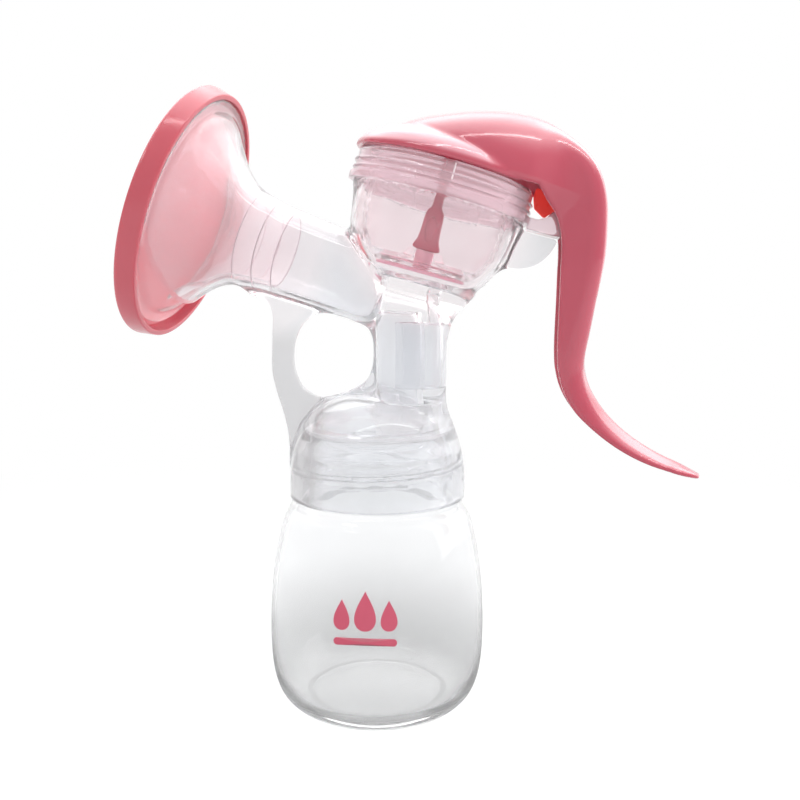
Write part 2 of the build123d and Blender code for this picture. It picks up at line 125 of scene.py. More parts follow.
def fillet(points, radii):
    """Rounds corners of a closed 2D outline; radii gives the radius for a point's index."""
    rounded = []
    for i, point in enumerate(points):
        if i not in radii:
            rounded.append(tuple(point))
            continue
        corner = np.array(point, float)
        before = np.array(points[i - 1], float) - corner
        after = np.array(points[(i + 1) % len(points)], float) - corner
        before_length, after_length = np.linalg.norm(before), np.linalg.norm(after)
        before, after = before / before_length, after / after_length
        half_angle = math.acos(max(-1, min(1, float(before @ after)))) / 2
        tangent = min(radii[i] / math.tan(half_angle), 0.49 * before_length, 0.49 * after_length)
        radius = tangent * math.tan(half_angle)
        inward = (before + after) / np.linalg.norm(before + after)
        centre = corner + inward * (radius / math.sin(half_angle))
        start = corner + before * tangent - centre
        end = corner + after * tangent - centre
        for k in range(6):
            f = k / 5.0
            ray = start * (1 - f) + end * f
            ray = ray / np.linalg.norm(ray) * radius
            rounded.append(tuple(float(v) for v in centre + ray))
    return rounded


# ---------------------------------------------------------------- meshes
def link_smooth(name, mesh, smooth_angle):
    piece = bpy.data.objects.new(name, mesh)
    scene.collection.objects.link(piece)
    mesh.shade_smooth()
    mesh.set_sharp_from_angle(angle=math.radians(smooth_angle))
    return piece


def mesh_object(name, verts, faces, smooth_angle=32.0):
    mesh = bpy.data.meshes.new(name)
    mesh.from_pydata((np.asarray(verts, float) * MM).tolist(), [], faces)
    mesh.validate()
    mesh.update()
    return link_smooth(name, mesh, smooth_angle)


def quad_object(name, verts, quads, smooth_angle):
    """Fast build of a large mesh from an N x 3 and an N x 4 array."""
    mesh = bpy.data.meshes.new(name)
    verts = np.ascontiguousarray(verts * MM, dtype=np.float32)
    quads = np.ascontiguousarray(quads, dtype=np.int32)
    mesh.vertices.add(len(verts))
    mesh.vertices.foreach_set("co", verts.ravel())
    mesh.loops.add(quads.size)
    mesh.loops.foreach_set("vertex_index", quads.ravel())
    mesh.polygons.add(len(quads))
    mesh.polygons.foreach_set("loop_start", np.arange(0, quads.size, 4, dtype=np.int32))
    mesh.update(calc_edges=True)
    mesh.validate()
    return link_smooth(name, mesh, smooth_angle)


def lathe(name, outline, frame=BASE_FRAME, segments=160, warp=None, smooth_angle=32.0):
    """Revolves a closed (radius, height) outline about the frame's axis.

    Points on the axis become poles. warp(radius, height, theta, index) may move a ring's points.
    """
    origin, axis, side = frame
    across = np.cross(axis, side)
    theta = np.linspace(0, 2 * math.pi, segments, endpoint=False)
    cos, sin = np.cos(theta), np.sin(theta)
    verts, rings = [], []
    for i, (radius, height) in enumerate(outline):
        if radius < 1e-6:
            rings.append([len(verts)] * segments)
            verts.append(origin + height * axis)
            continue
        r, h = np.full(segments, float(radius)), np.full(segments, float(height))
        if warp is not None:
            r, h = warp(r, h, theta, i)
        rings.append(range(len(verts), len(verts) + segments))
        verts.extend(origin + h[:, None] * axis + (r * cos)[:, None] * side
                     + (r * sin)[:, None] * across)
    faces = []
    for low, high in zip(rings, rings[1:] + rings[:1]):
        for k in range(segments):
            after = (k + 1) % segments
            # a repeated pole drops out, which leaves a triangle, or nothing along the axis
            face = tuple(dict.fromkeys((low[k], low[after], high[after], high[k])))
            if len(face) > 2:
                faces.append(face)
    # the outline's signed area tells which way round gives outward normals
    pairs = zip(outline, outline[1:] + outline[:1])
    if sum(r0 * h1 - r1 * h0 for (r0, h0), (r1, h1) in pairs) < 0:
        faces = [tuple(reversed(face)) for face in faces]
    return mesh_object(name, verts, faces, smooth_angle)


# ---------------------------------------------------------------- signed distance modelling
# Used for the moulded shells whose parts flow into each other. Distances are negative inside.
def polygon_distance(polygon, X, Z):
    P = np.array(polygon, float)
    nearest = np.full(X.shape, 1e9, np.float64)
    inside = np.zeros(X.shape, bool)
    for (x0, z0), (x1, z1) in zip(P, np.roll(P, -1, axis=0)):
        edge_x, edge_z = x1 - x0, z1 - z0
        length2 = edge_x * edge_x + edge_z * edge_z
        if length2 < 1e-12:
            continue
        from_x, from_z = X - x0, Z - z0
        t = np.clip((from_x * edge_x + from_z * edge_z) / length2, 0, 1)
        dx, dz = from_x - t * edge_x, from_z - t * edge_z
        np.minimum(nearest, dx * dx + dz * dz, out=nearest)
        crossed = ((z0 <= Z) & (Z < z1)) | ((z1 <= Z) & (Z < z0))
        if edge_z != 0:
            inside ^= crossed & (X < x0 + (Z - z0) * edge_x / edge_z)
    distance = np.sqrt(nearest)
    return np.where(inside, -distance, distance)


class OutlineField:
    """A polygon's signed distance on a fine 2D grid, read back by bilinear lookup."""

    def __init__(self, polygon, step=0.2, pad=14.0):
        P = np.array(polygon, float)
        self.low = P.min(0) - pad
        self.step = step
        self.count = np.ceil((P.max(0) + pad - self.low) / step).astype(int) + 1
        grid_x = self.low[0] + step * np.arange(self.count[0])
        grid_z = self.low[1] + step * np.arange(self.count[1])
        self.grid = polygon_distance(polygon, *np.meshgrid(grid_x, grid_z, indexing="ij"))

    def __call__(self, x, z):
        u = (x - self.low[0]) / self.step
        v = (z - self.low[1]) / self.step
        u_in = np.clip(u, 0, self.count[0] - 1.001)
        v_in = np.clip(v, 0, self.count[1] - 1.001)
        i, j = u_in.astype(int), v_in.astype(int)
        fu, fv = u_in - i, v_in - j
        g = self.grid
        near = g[i, j] * (1 - fu) + g[i + 1, j] * fu
        far = g[i, j + 1] * (1 - fu) + g[i + 1, j + 1] * fu
        return near * (1 - fv) + far * fv + np.hypot(u - u_in, v - v_in) * self.step


def radius_height(P, frame):
    offset = P - frame[0]
    height = offset @ frame[1]
    return np.sqrt(np.maximum((offset * offset).sum(-1) - height * height, 0)), height


class TurnedField:
    """Signed distance to a (radius, height) outline revolved about a frame's axis."""

    def __init__(self, outline, frame=BASE_FRAME):
        self.section = OutlineField(outline + [(-r, h) for r, h in reversed(outline)])
        self.frame = frame

    def __call__(self, P):
        return self.section(*radius_height(P, self.frame))


def join(a, b, blend):
    """Union of two distances with a soft seam."""
    h = np.maximum(blend - np.abs(a - b), 0) / blend
    return np.minimum(a, b) - h * h * blend * 0.25


def cut(a, tool, blend):
    """Takes tool away from a with a soft edge."""
    return -join(-a, tool, blend)


def plate(outline_distance, y, half_thickness, edge):
    """A flat plate from its outline's distance, its rim rounded by edge."""
    q1, q2 = outline_distance + edge, np.abs(y) - half_thickness + edge
    outside = np.hypot(np.maximum(q1, 0), np.maximum(q2, 0))
    return np.minimum(np.maximum(q1, q2), 0) + outside - edge


def upright(P, x, radius):
    """Endless cylinder along Z."""
    return np.hypot(P[:, 0] - x, P[:, 1]) - radius


def post(P, x, radius, bottom, top):
    """Cylinder along Z with flat ends."""
    return np.maximum(np.maximum(upright(P, x, radius), bottom - P[:, 2]), P[:, 2] - top)


def crosswise(P, centre, radius):
    """Endless cylinder along Y."""
    return np.hypot(P[:, 0] - centre[0], P[:, 2] - centre[2]) - radius


def smooth01(t):
    t = np.clip(t, 0, 1)
    return t * t * (3 - 2 * t)


def surface_nets(field, low, high, cell):
    """Closed quad surface of field = 0, its points polished onto the exact surface."""
    low, high = np.array(low, float), np.array(high, float)
    count = np.ceil((high - low) / cell).astype(int) + 1
    values = np.empty(count, np.float32)
    Y, Z = np.meshgrid(low[1] + cell * np.arange(count[1]),
                       low[2] + cell * np.arange(count[2]), indexing="ij")
    for start in range(0, count[0], 8):  # slabs keep the memory small
        stop = min(count[0], start + 8)
        P = np.empty((stop - start,) + Y.shape + (3,))
        P[..., 0] = (low[0] + cell * np.arange(start, stop))[:, None, None]
        P[..., 1] = Y
        P[..., 2] = Z
        values[start:stop] = field(P.reshape(-1, 3)).reshape(P.shape[:3])
    inside = values < 0

    # one point in each cell the surface passes through, at the mean of its edge crossings
    corners = list(itertools.product((0, 1), repeat=3))
    filled = sum(inside[a:count[0] - 1 + a, b:count[1] - 1 + b, c:count[2] - 1 + c].astype(np.int8)
                 for a, b, c in corners)
    active = (filled > 0) & (filled < 8)
    cells = np.argwhere(active)
    at_corner = {c: values[tuple((cells + c).T)].astype(float) for c in corners}
    total = np.zeros((len(cells), 3))
    crossings = np.zeros(len(cells))
    for corner in corners:
        for axis in range(3):
            if corner[axis]:
                continue
            other = list(corner)
            other[axis] = 1
            a, b = at_corner[corner], at_corner[tuple(other)]
            crossed = (a < 0) != (b < 0)
            point = np.full((len(cells), 3), corner, float)
            point[:, axis] += np.where(crossed, a / np.where(crossed, a - b, 1), 0)
            total += point * crossed[:, None]
            crossings += crossed
    V = low + cell * (cells + total / crossings[:, None])

    # one quad round each grid edge that changes sign
    index = np.full(active.shape, -1, np.int64)
    index[active] = np.arange(len(cells))
    quads = []
    for axis in range(3):
        b, c = (axis + 1) % 3, (axis + 2) % 3
        first, second = [slice(None)] * 3, [slice(None)] * 3
        first[axis], second[axis] = slice(0, -1), slice(1, None)
        first = inside[tuple(first)]
        edges = np.argwhere(first != inside[tuple(second)])
        keep = (edges[:, b] > 0) & (edges[:, c] > 0)
        keep &= (edges[:, b] < count[b] - 1) & (edges[:, c] < count[c] - 1)
        edges = edges[keep]
        outward = first[tuple(edges.T)]
        around = []
        for shift_b, shift_c in ((-1, -1), (0, -1), (0, 0), (-1, 0)):
            beside = edges.copy()
            beside[:, b] += shift_b
            beside[:, c] += shift_c
            around.append(index[tuple(beside.T)])
        quad = np.stack(around, 1)
        quad[~outward] = quad[~outward][:, ::-1]
        quads.append(quad)

    for _ in range(3):
        slope = np.stack([(field(V + d) - field(V - d)) / 0.1 for d in np.eye(3) * 0.05], 1)
        move = -(field(V) / np.maximum((slope * slope).sum(1), 0.2))[:, None] * slope
        length = np.linalg.norm(move, axis=1)
        V = V + move * np.minimum(1, 0.35 * cell / np.maximum(length, 1e-9))[:, None]
    return V, np.vstack(quads)


def moulded(name, field, low, high, cell, smooth_angle):
    """Meshes a field inside the box from low to high."""
    return quad_object(name, *surface_nets(field, low, high, cell), smooth_angle)


# ---------------------------------------------------------------- materials
def srgb(*rgb):
    """Linear colour from 8-bit sRGB."""
    def linear(c):
        c /= 255.0
        return c / 12.92 if c <= 0.04045 else ((c + 0.055) / 1.055) ** 2.4
    return tuple(linear(c) for c in rgb)


class Shader:
    """Fills a node tree. Every value may be a constant or another node's output socket."""

    def __init__(self, owner, coordinates="Object"):
        owner.use_nodes = True
        self.tree = owner.node_tree
        self.tree.nodes.clear()
        self.position = self.node("TexCoord").outputs[coordinates]

    def node(self, kind, inputs=None, **settings):
        node = self.tree.nodes.new("ShaderNode" + kind)
        for key, value in settings.items():
            setattr(node, key, value)
        for key, value in (inputs or {}).items():
            if isinstance(value, bpy.types.NodeSocket):
                self.tree.links.new(value, node.inputs[key])
            else:
                node.inputs[key].default_value = value
        return node

    def principled(self, inputs):
        surface = self.node("BsdfPrincipled", inputs).outputs["BSDF"]
        self.node("OutputMaterial", {"Surface": surface})

    def math(self, operation, *values):
        return self.node("Math", dict(enumerate(values)), operation=operation).outputs[0]

    def vector(self, operation, *values):
        """A vector operation that gives one number."""
        inputs = dict(enumerate(values))
        return self.node("VectorMath", inputs, operation=operation).outputs["Value"]

    def step(self, value, start, end, low=0.0, high=1.0, kind="SMOOTHSTEP"):
        """Goes from low to high while value goes from start to end."""
        inputs = {"Value": value, "From Min": start, "From Max": end,
                  "To Min": low, "To Max": high}
        return self.node("MapRange", inputs, interpolation_type=kind).outputs["Result"]

    def vary(self, fac, low, high):
        """Spreads a noise over the range from low to high."""
        return self.step(fac, 0.3, 0.7, low, high, "LINEAR")

    def noise(self, scale, detail, roughness=0.55):
        inputs = {"Scale": scale, "Detail": detail, "Roughness": roughness,
                  "Vector": self.position}
        return self.node("TexNoise", inputs).outputs["Fac"]

    def mix_colour(self, factor, a, b):
        a, b = ((*c, 1) if isinstance(c, tuple) else c for c in (a, b))
        return self.node("Mix", {0: factor, 6: a, 7: b}, data_type="RGBA").outputs[2]

    def mix_float(self, factor, a, b):
        return self.node("Mix", {0: factor, 2: a, 3: b}, data_type="FLOAT").outputs[0]

    def bump(self, height, strength, distance):
        inputs = {"Strength": strength, "Distance": distance, "Height": height}
        return self.node("Bump", inputs).outputs["Normal"]


def clear_plastic(name, colours, rough, transmission, ior, wave, wave_scale):
    """Moulded clear plastic: faint cloudiness, uneven gloss and slight waviness."""
    material = bpy.data.materials.new(name)
    shader = Shader(material)
    cloud = shader.noise(scale=30.0, detail=2.0)
    waves = shader.noise(scale=wave_scale, detail=1.0, roughness=0.4)
    grain = shader.noise(scale=900.0, detail=2.0)
    shader.principled({
        "Base Color": shader.mix_colour(shader.vary(cloud, 0, 1), *colours),
        "Roughness": shader.vary(grain, rough * 0.7, rough * 1.6),
        "Transmission Weight": shader.vary(cloud, transmission - 0.02, transmission + 0.01),
        "IOR": ior,
        "Normal": shader.bump(waves, strength=wave, distance=0.0006)})
    return material


def body_plastic(name):
    """The pump moulding: a nearly clear head cup, milkier collar, web and arm."""
    thin_colours = (0.928, 0.89, 0.902), (0.946, 0.912, 0.922)
    milky_colour = (0.885, 0.892, 0.91)
    web_colour = (0.76, 0.755, 0.765)
    rough = 0.045
    clear_cup, clear_middle, clear_bottom = 0.955, 0.84, 0.78  # transmission
    material = bpy.data.materials.new(name)
    shader = Shader(material)
    cloud = shader.noise(scale=30.0, detail=2.0)
    waves = shader.noise(scale=60.0, detail=1.0, roughness=0.4)
    grain = shader.noise(scale=900.0, detail=2.0)
    # how far a point lies from the cup and from the funnel's mouth, in metres
    from_cup = shader.vector("DISTANCE", shader.position, tuple((HEAD - 9.0 * HEAD_AXIS) * MM))
    from_mouth = shader.vector("DISTANCE", shader.position, tuple((ARM + 3.0 * ARM_AXIS) * MM))
    from_mouth = shader.math("MAXIMUM", shader.math("SUBTRACT", from_mouth, 0.011), 0.0268)
    thick = shader.step(shader.math("MINIMUM", from_cup, from_mouth), 0.022, 0.033)
    axes = shader.node("SeparateXYZ", {0: shader.position}).outputs
    thick_clear = shader.step(axes["Z"], 0.088, 0.104, clear_bottom, clear_middle)
    colour = shader.mix_colour(shader.vary(cloud, 0, 1), *thin_colours)
    colour = shader.mix_colour(thick, colour, milky_colour)
    # the flat web at -X, low down, gets a greyer, darker base colour
    on_web = shader.math("MULTIPLY", shader.step(axes["X"], -0.010, -0.016),
                         shader.step(axes["Z"], 0.114, 0.104))
    shader.principled({
        "Base Color": shader.mix_colour(on_web, colour, web_colour),
        "Roughness": shader.vary(grain, rough * 0.7, rough * 1.5),
        "Transmission Weight": shader.mix_float(thick, clear_cup, thick_clear),
        "IOR": 1.27,
        "Normal": shader.bump(waves, strength=0.2, distance=0.0006)})
    return material


def painted_lid_highlight(shader, colour, pale):
    """Paints the lid paler in two patches, one each side of the lever's hood: a painted highlight.
    """
    position = shader.node("TexCoord").outputs["Object"]

    def along(axis):
        dot = shader.vector("DOT_PRODUCT", position, tuple(axis))
        return shader.math("ADD", dot, -float(HEAD @ axis) * MM)

    side, height = along(HEAD_SIDE), along(HEAD_AXIS)
    off_middle = shader.math("ABSOLUTE", shader.vector("DOT_PRODUCT", position, (0, 1, 0)))
    # the mask of the painted highlight patches
    oblique = shader.step(shader.math("SUBTRACT", off_middle, side), 0.0225, 0.0258)
    patch = shader.math("MAXIMUM", oblique, shader.step(off_middle, 0.0220, 0.0231))
    patch = shader.math("MULTIPLY", patch, shader.step(height, 0.0068, 0.0088))
    return shader.mix_colour(shader.math("MULTIPLY", patch, 0.70), colour, pale)


def pink_plastic(name, colours, rough, subsurface, coat, peel=0.08, highlight_tint=None, glow=None):
    """Opaque glossy plastic, with optional painted light: a paler pink for painted highlight patches
    on the lid, and a colour it gives off as a painted glow.
    """
    material = bpy.data.materials.new(name)
    shader = Shader(material)
    cloud = shader.noise(scale=22.0, detail=3.0)
    ripple = shader.noise(scale=260.0, detail=2.0)
    grain = shader.noise(scale=1500.0, detail=2.0)
    colour = shader.mix_colour(shader.vary(cloud, 0, 1), *colours)
    # paler patches on the lid: a painted highlight
    if highlight_tint:
        colour = painted_lid_highlight(shader, colour, highlight_tint)
    relief = shader.math("MULTIPLY_ADD", grain, 0.15, ripple)
    inputs = {
        "Base Color": colour,
        "Roughness": shader.vary(ripple, rough * 0.8, rough * 1.3),
        "IOR": 1.49,
        "Subsurface Weight": subsurface,
        "Subsurface Radius": (1.0, 0.35, 0.35),
        "Subsurface Scale": 0.0025,
        "Coat Weight": coat,
        "Coat Roughness": 0.06,
        "Normal": shader.bump(relief, strength=peel, distance=0.0003)}
    # painted glow: an emission on a part that is no lamp
    if glow:
        inputs |= {"Emission Color": (*glow, 1), "Emission Strength": 0.35}
    shader.principled(inputs)
    return material


def silicone(name, colours, rough, transmission, grain=0.25, ior=1.35):
    material = bpy.data.materials.new(name)
    shader = Shader(material)
    cloud = shader.noise(scale=60.0, detail=3.0)
    fine = shader.noise(scale=1400.0, detail=2.0)
    shader.principled({
        "Base Color": shader.mix_colour(shader.vary(cloud, 0, 1), *colours),
        "Roughness": shader.vary(fine, rough * 0.8, rough * 1.25),
        "Transmission Weight": shader.vary(cloud, transmission - 0.04, transmission + 0.03),
        "IOR": ior,
        "Normal": shader.bump(fine, strength=grain, distance=0.0002)})
    return material


BOTTLE_CLEAR = clear_plastic(
    "clear_bottle_pp", ((0.975, 0.978, 0.982), (0.99, 0.992, 0.995)),
    rough=0.03, transmission=0.92, ior=1.28, wave=0.15, wave_scale=40.0)
BODY_CLEAR = body_plastic("clear_body_pp")
# its lid gets painted highlight patches in a paler pink
HANDLE_PINK = pink_plastic(
    "handle_pink", (srgb(194, 79, 97), srgb(202, 89, 107)),
    rough=0.16, subsurface=0.2, coat=0.5, peel=0.015, highlight_tint=srgb(243, 186, 197))
COVER_PINK = pink_plastic(
    "cover_pink", (srgb(200, 84, 96), srgb(208, 96, 109)),
    rough=0.20, subsurface=0.3, coat=0.2, peel=0.015)
ROD_PINK = pink_plastic(
    "rod_pink", (srgb(182, 0, 62), srgb(190, 6, 74)), rough=0.4, subsurface=0.1, coat=0.05)
DISC_PINK = pink_plastic(
    "disc_pink", (srgb(248, 172, 192), srgb(252, 186, 203)), rough=0.35, subsurface=0.2, coat=0.1)
RING_PINK = clear_plastic(
    "ring_pale_pink", ((0.985, 0.80, 0.85), (0.99, 0.845, 0.885)),
    rough=0.06, transmission=0.74, ior=1.33, wave=0.10, wave_scale=80.0)
MILKY_SILICONE = silicone(
    "silicone_milky", ((0.93, 0.91, 0.92), (0.96, 0.95, 0.95)), rough=0.18, transmission=0.80)
DIAPHRAGM_SILICONE = silicone(
    "silicone_diaphragm", ((0.99, 0.945, 0.955), (0.995, 0.965, 0.97)),
    rough=0.02, transmission=0.97, grain=0.03, ior=1.10)
CUSHION_SILICONE = silicone(
    "silicone_cushion", ((1.0, 0.94, 0.95), (1.0, 0.955, 0.965)),
    rough=0.10, transmission=0.86, grain=0.04, ior=1.05)
TICK_PALE = clear_plastic(
    "ring_tick_pale", ((0.98, 0.90, 0.92), (0.99, 0.93, 0.95)),
    rough=0.1, transmission=0.3, ior=1.45, wave=0.1, wave_scale=80.0)
# red with a faint glow as painted reflection of the handle's pink channel
RIB_REFLECTION_RED = pink_plastic(
    "rib_painted_reflection_red", (srgb(236, 70, 62), srgb(244, 84, 76)),
    rough=0.3, subsurface=0.1, coat=0.1, glow=srgb(236, 62, 54))
BEAD_SILICONE = silicone(
    "cushion_bead", ((0.80, 0.66, 0.71), (0.86, 0.72, 0.76)),
    rough=0.2, transmission=0.35, grain=0.05, ior=1.35)
PRINT_INK = pink_plastic(
    "print_ink", (srgb(222, 92, 118), srgb(230, 104, 128)), rough=0.4, subsurface=0.0, coat=0.0)


def finish(piece, body, material, node=None, shadow=True):
    piece.data.materials.append(material)
    if body:
        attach(piece, body)
    if node:
        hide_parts(node)
    if not shadow:
        piece.visible_shadow = False


# ================================================================ bottle
# outlines are (radius, height) in their frame, here and below
NECK_FOOT = 62.8
bottle_outer = [(0, 0.25), (14.0, 0.22), (18.5, 0.05)] + spline(
    [(19.6, 0.0), (21.5, 0.0), (25.2, 1.1), (28.4, 4.2), (30.2, 8.4), (31.1, 13.5), (31.5, 20.5),
     (31.4, 29.0), (30.9, 36.6), (30.2, 42.6), (29.2, 48.5), (27.7, 54.6), (25.9, 58.6),
     (24.4, 60.3), (22.4, 61.0), (20.9, 61.6), (NECK_RADIUS, NECK_FOOT)], 6)
# close rings up the neck carry the thread
bottle_outer += [(NECK_RADIUS, NECK_FOOT + 0.25 * k) for k in range(1, 63)]
bottle_outer += [
    (NECK_RADIUS, 78.9), (NECK_RADIUS - 0.12, 79.25), (NECK_RADIUS - 0.5, NECK_TOP),
    (NECK_RADIUS - 1.15, NECK_TOP), (NECK_RADIUS - 1.5, 79.25), (NECK_BORE, 78.9)]
bottle_inner = spline(
    [(NECK_BORE, 62.6), (19.9, 60.6), (22.0, 59.2), (24.6, 57.3), (26.4, 53.6), (27.9, 47.8),
     (28.9, 42.2), (29.6, 36.2), (30.1, 29.0), (30.2, 21.0), (29.8, 14.5), (28.9, 10.0),
     (27.2, 6.4), (23.6, 4.0), (19.0, 3.2), (12.0, 3.1), (6.0, 3.3)], 6) + [(3.0, 3.4), (0, 3.4)]


def bottle_thread(r, h, theta, index):
    """Raises a right-hand helix on the neck: its height grows with the angle."""
    z = h[0]
    if abs(r[0] - NECK_RADIUS) > 1e-6 or not 62.9 < z < 78.8:
        return r, h
    raised = np.zeros_like(r)
    for k in range(-1, 4):
        turn = theta / (2 * math.pi) + k
        crest = THREAD_START + THREAD_PITCH * turn
        ends = np.clip((turn + 0.02) / 0.08, 0, 1) * np.clip((THREAD_TURNS - turn) / 0.08, 0, 1)
        ridge = np.clip((1.1 - np.abs(z - crest)) / 0.55, 0, 1)
        raised = np.maximum(raised, ends * ridge * THREAD_HEIGHT)
    return r + raised, h


bottle = lathe("bottle_shell", bottle_outer + bottle_inner, segments=192, warp=bottle_thread,
               smooth_angle=48)
finish(bottle, "bottle_base", BOTTLE_CLEAR, "bottle", shadow=False)

# ================================================================ print on the bottle's front
PRINT_ANGLE, PRINT_HEIGHT = math.radians(-88.0), 35.0
PRINT_RADIUS = 31.2  # turns an arc length into an angle
INK_TOP, INK_BACK = 0.09, 0.01  # lift off the bottle wall
INK_RINGS = 6
bottle_wall = np.array(sorted((z, r) for r, z in bottle_outer if 5 < z < 58))


def printed(name, patches):
    """Ink films wrapped on the wall: each patch is a centre and an outline (arc, height)."""
    verts, faces = [], []

    def put(arc, height, lift):
        z = PRINT_HEIGHT + height
        radius = float(np.interp(z, bottle_wall[:, 0], bottle_wall[:, 1])) + lift
        theta = PRINT_ANGLE + arc / PRINT_RADIUS
        verts.append((radius * math.cos(theta), radius * math.sin(theta), z))

    for (centre_arc, centre_height), outline in patches:
        count = len(outline)
        top = len(verts)
        put(centre_arc, centre_height, INK_TOP)
        for ring in range(1, INK_RINGS + 1):
            f = ring / INK_RINGS
            for arc, height in outline:
                put(centre_arc + (arc - centre_arc) * f,
                    centre_height + (height - centre_height) * f, INK_TOP)
        for arc, height in outline:
            put(arc, height, INK_BACK)
        back = len(verts)
        put(centre_arc, centre_height, INK_BACK)
        rim = top + 1 + INK_RINGS * count
        for k in range(count):
            after = (k + 1) % count
            faces.append((top, top + 1 + k, top + 1 + after))
            faces.append((back, rim + after, rim + k))
            for ring in range(INK_RINGS):
                r0 = top + 1 + ring * count
                r1 = r0 + count
                faces.append((r0 + k, r1 + k, r1 + after, r0 + after))
    return mesh_object(name, verts, faces, 60)


PATCH_ANGLES = [2 * math.pi * k / 40 for k in range(40)]


def drop_patch(arc, height, width, tall):
    outline = [(arc + width * 0.5 * math.sin(t) * math.sin(t / 2) ** 1.3,
                height + tall * 0.5 * math.cos(t)) for t in PATCH_ANGLES]
    return (arc, height - tall * 0.12), outline


def bar_patch(arc, height, width, tall):
    reach = (width - tall) / 2
    outline = [(arc + math.copysign(reach, math.cos(t)) + tall / 2 * math.cos(t),
                height + tall / 2 * math.sin(t)) for t in PATCH_ANGLES]
    return (arc, height), outline


decoration = printed("bottle_print", [
    drop_patch(-6.4, 0.6, 6.2, 8.2), drop_patch(0.0, 1.8, 8.0, 10.6),
    drop_patch(6.4, 0.6, 6.2, 8.2), bar_patch(0.0, -6.6, 17.0, 2.0)])
finish(decoration, "bottle_base", PRINT_INK)

# ================================================================ seal washer
SEAL_BOTTOM = NECK_TOP + 0.08
SEAL_TOP = SEAL_BOTTOM + 1.54
seal = lathe("seal_washer", fillet(
    [(17.7, SEAL_BOTTOM), (20.4, SEAL_BOTTOM), (20.4, SEAL_TOP), (17.7, SEAL_TOP)],
    dict.fromkeys(range(4), 0.4)), segments=128)
finish(seal, "seal", MILKY_SILICONE, "bottle_seal", shadow=False)

# ================================================================ pump body
arm_outer = TurnedField([(0, -2.0), (34.1, -2.0), (34.4, -1.7), (34.4, -0.7), (34.0, -0.2)] + spline(
    [(31.6, 0.0), (30.3, 1.0), (27.2, 3.0), (24.4, 5.0), (21.8, 7.0), (19.6, 9.0), (17.7, 11.0),
     (16.1, 13.0), (15.0, 15.0), (14.0, 18.0), (13.6, 20.5), (12.9, 24.5), (12.5, 30.7),
     (12.2, 37.0), (12.0, 43.0), (11.9, 52.0), (11.9, 55.0), (10.6, 59.6), (7.0, 62.6),
     (0, 63.4)], 4), ARM_FRAME)
arm_inner = TurnedField([(0, -3.0), (30.5, -3.0)] + spline(
    [(30.2, -1.5), (29.3, -0.27), (26.2, 1.73), (23.4, 3.75), (20.8, 5.8), (18.5, 7.9),
     (16.5, 9.95), (14.8, 12.1), (13.5, 14.4), (12.5, 18.0), (12.1, 20.5), (11.4, 24.5),
     (11.0, 30.7), (10.7, 37.0), (10.5, 43.0), (10.4, 52.0), (10.4, 54.0), (9.2, 58.0),
     (6.0, 60.6), (0, 61.2)], 4), ARM_FRAME)
cup_outer = TurnedField([(0, 3.0), (23.5, 3.0), (23.8, 2.7), (23.8, -3.2), (24.9, -3.25)] + spline(
    [(24.9, -3.4), (24.2, -5.8), (23.3, -10.7), (22.8, -14.5), (21.2, -17.8), (19.4, -21.2),
     (17.2, -24.3), (15.6, -27.1), (14.0, -29.8)], 4) + [(0, -30.5)], HEAD_FRAME)
cup_inner = TurnedField([(0, 3.8), (22.2, 3.8)] + spline(
    [(22.2, -2.0), (22.3, -3.8), (21.8, -10.6), (20.9, -15.0), (19.2, -18.3), (17.2, -21.6),
     (15.2, -24.3), (13.2, -26.2)], 4) + [(0, -26.6)], HEAD_FRAME)
collar_outer = TurnedField([(0, 61.2), (25.1, 61.2), (25.6, 61.7)] + spline(
    [(25.6, 66.0), (25.3, 71.0), (24.7, 74.5), (24.1, 76.9), (23.3, 79.2), (22.2, 81.6),
     (20.6, 84.0), (18.4, 86.4), (15.4, 88.5), (11.5, 90.1), (6.0, 91.0), (0, 91.2)], 4))
COLLAR_BORE = NECK_RADIUS + THREAD_HEIGHT + 0.55
COLLAR_LEDGE = NECK_TOP + 1.7
collar_inner = TurnedField(
    [(0, 60.0), (COLLAR_BORE + 0.6, 60.0), (COLLAR_BORE, 62.4), (COLLAR_BORE, 75.0),
     (20.9, 77.8), (20.9, COLLAR_LEDGE), (17.6, COLLAR_LEDGE)]
    + spline([(17.4, 83.0), (15.6, 85.4), (12.8, 87.2), (9.0, 88.5), (0, 89.2)], 4))
# flat plates in the XZ plane, (x, z): the web under the arm, its window, the fin at +X
web_outline = OutlineField(spline(
    [(-42.0, 127.5), (-38.1, 120.7), (-33.9, 118.4), (-31.8, 116.1), (-31.2, 113.7),
     (-31.3, 109.0), (-31.4, 104.3), (-31.5, 99.6), (-31.3, 96.5), (-30.6, 93.5), (-29.8, 90.5),
     (-28.7, 87.3), (-27.8, 84.2), (-27.0, 80.6), (-26.4, 77.0), (-25.6, 70.0)], 4)
    + [(-20.0, 68.0), (-5.0, 82.0), (6.0, 84.0), (6.0, 120.0), (-5.0, 123.0), (-22.0, 130.0)])
web_window = OutlineField(spline(
    [(-12.5, 115.7), (-17.6, 114.9), (-22.2, 111.5), (-24.4, 106.9), (-25.0, 102.2),
     (-24.4, 97.5), (-22.0, 92.8), (-16.5, 90.0), (-9.0, 91.6), (-3.6, 95.1), (-1.3, 98.8),
     (-0.5, 103.0), (-0.9, 107.5), (-3.4, 111.8), (-7.7, 114.8), (-12.5, 115.7)], 4))
fin_outline = OutlineField([(30.0, 140.0), (31.0, 127.0)] + spline(
    [(36.1, 127.6), (39.0, 127.2), (41.7, 127.4), (44.5, 128.3), (47.2, 130.2), (49.4, 132.9),
     (50.4, 134.9)], 4) + [(50.0, 135.4), (39.9, 138.1)])
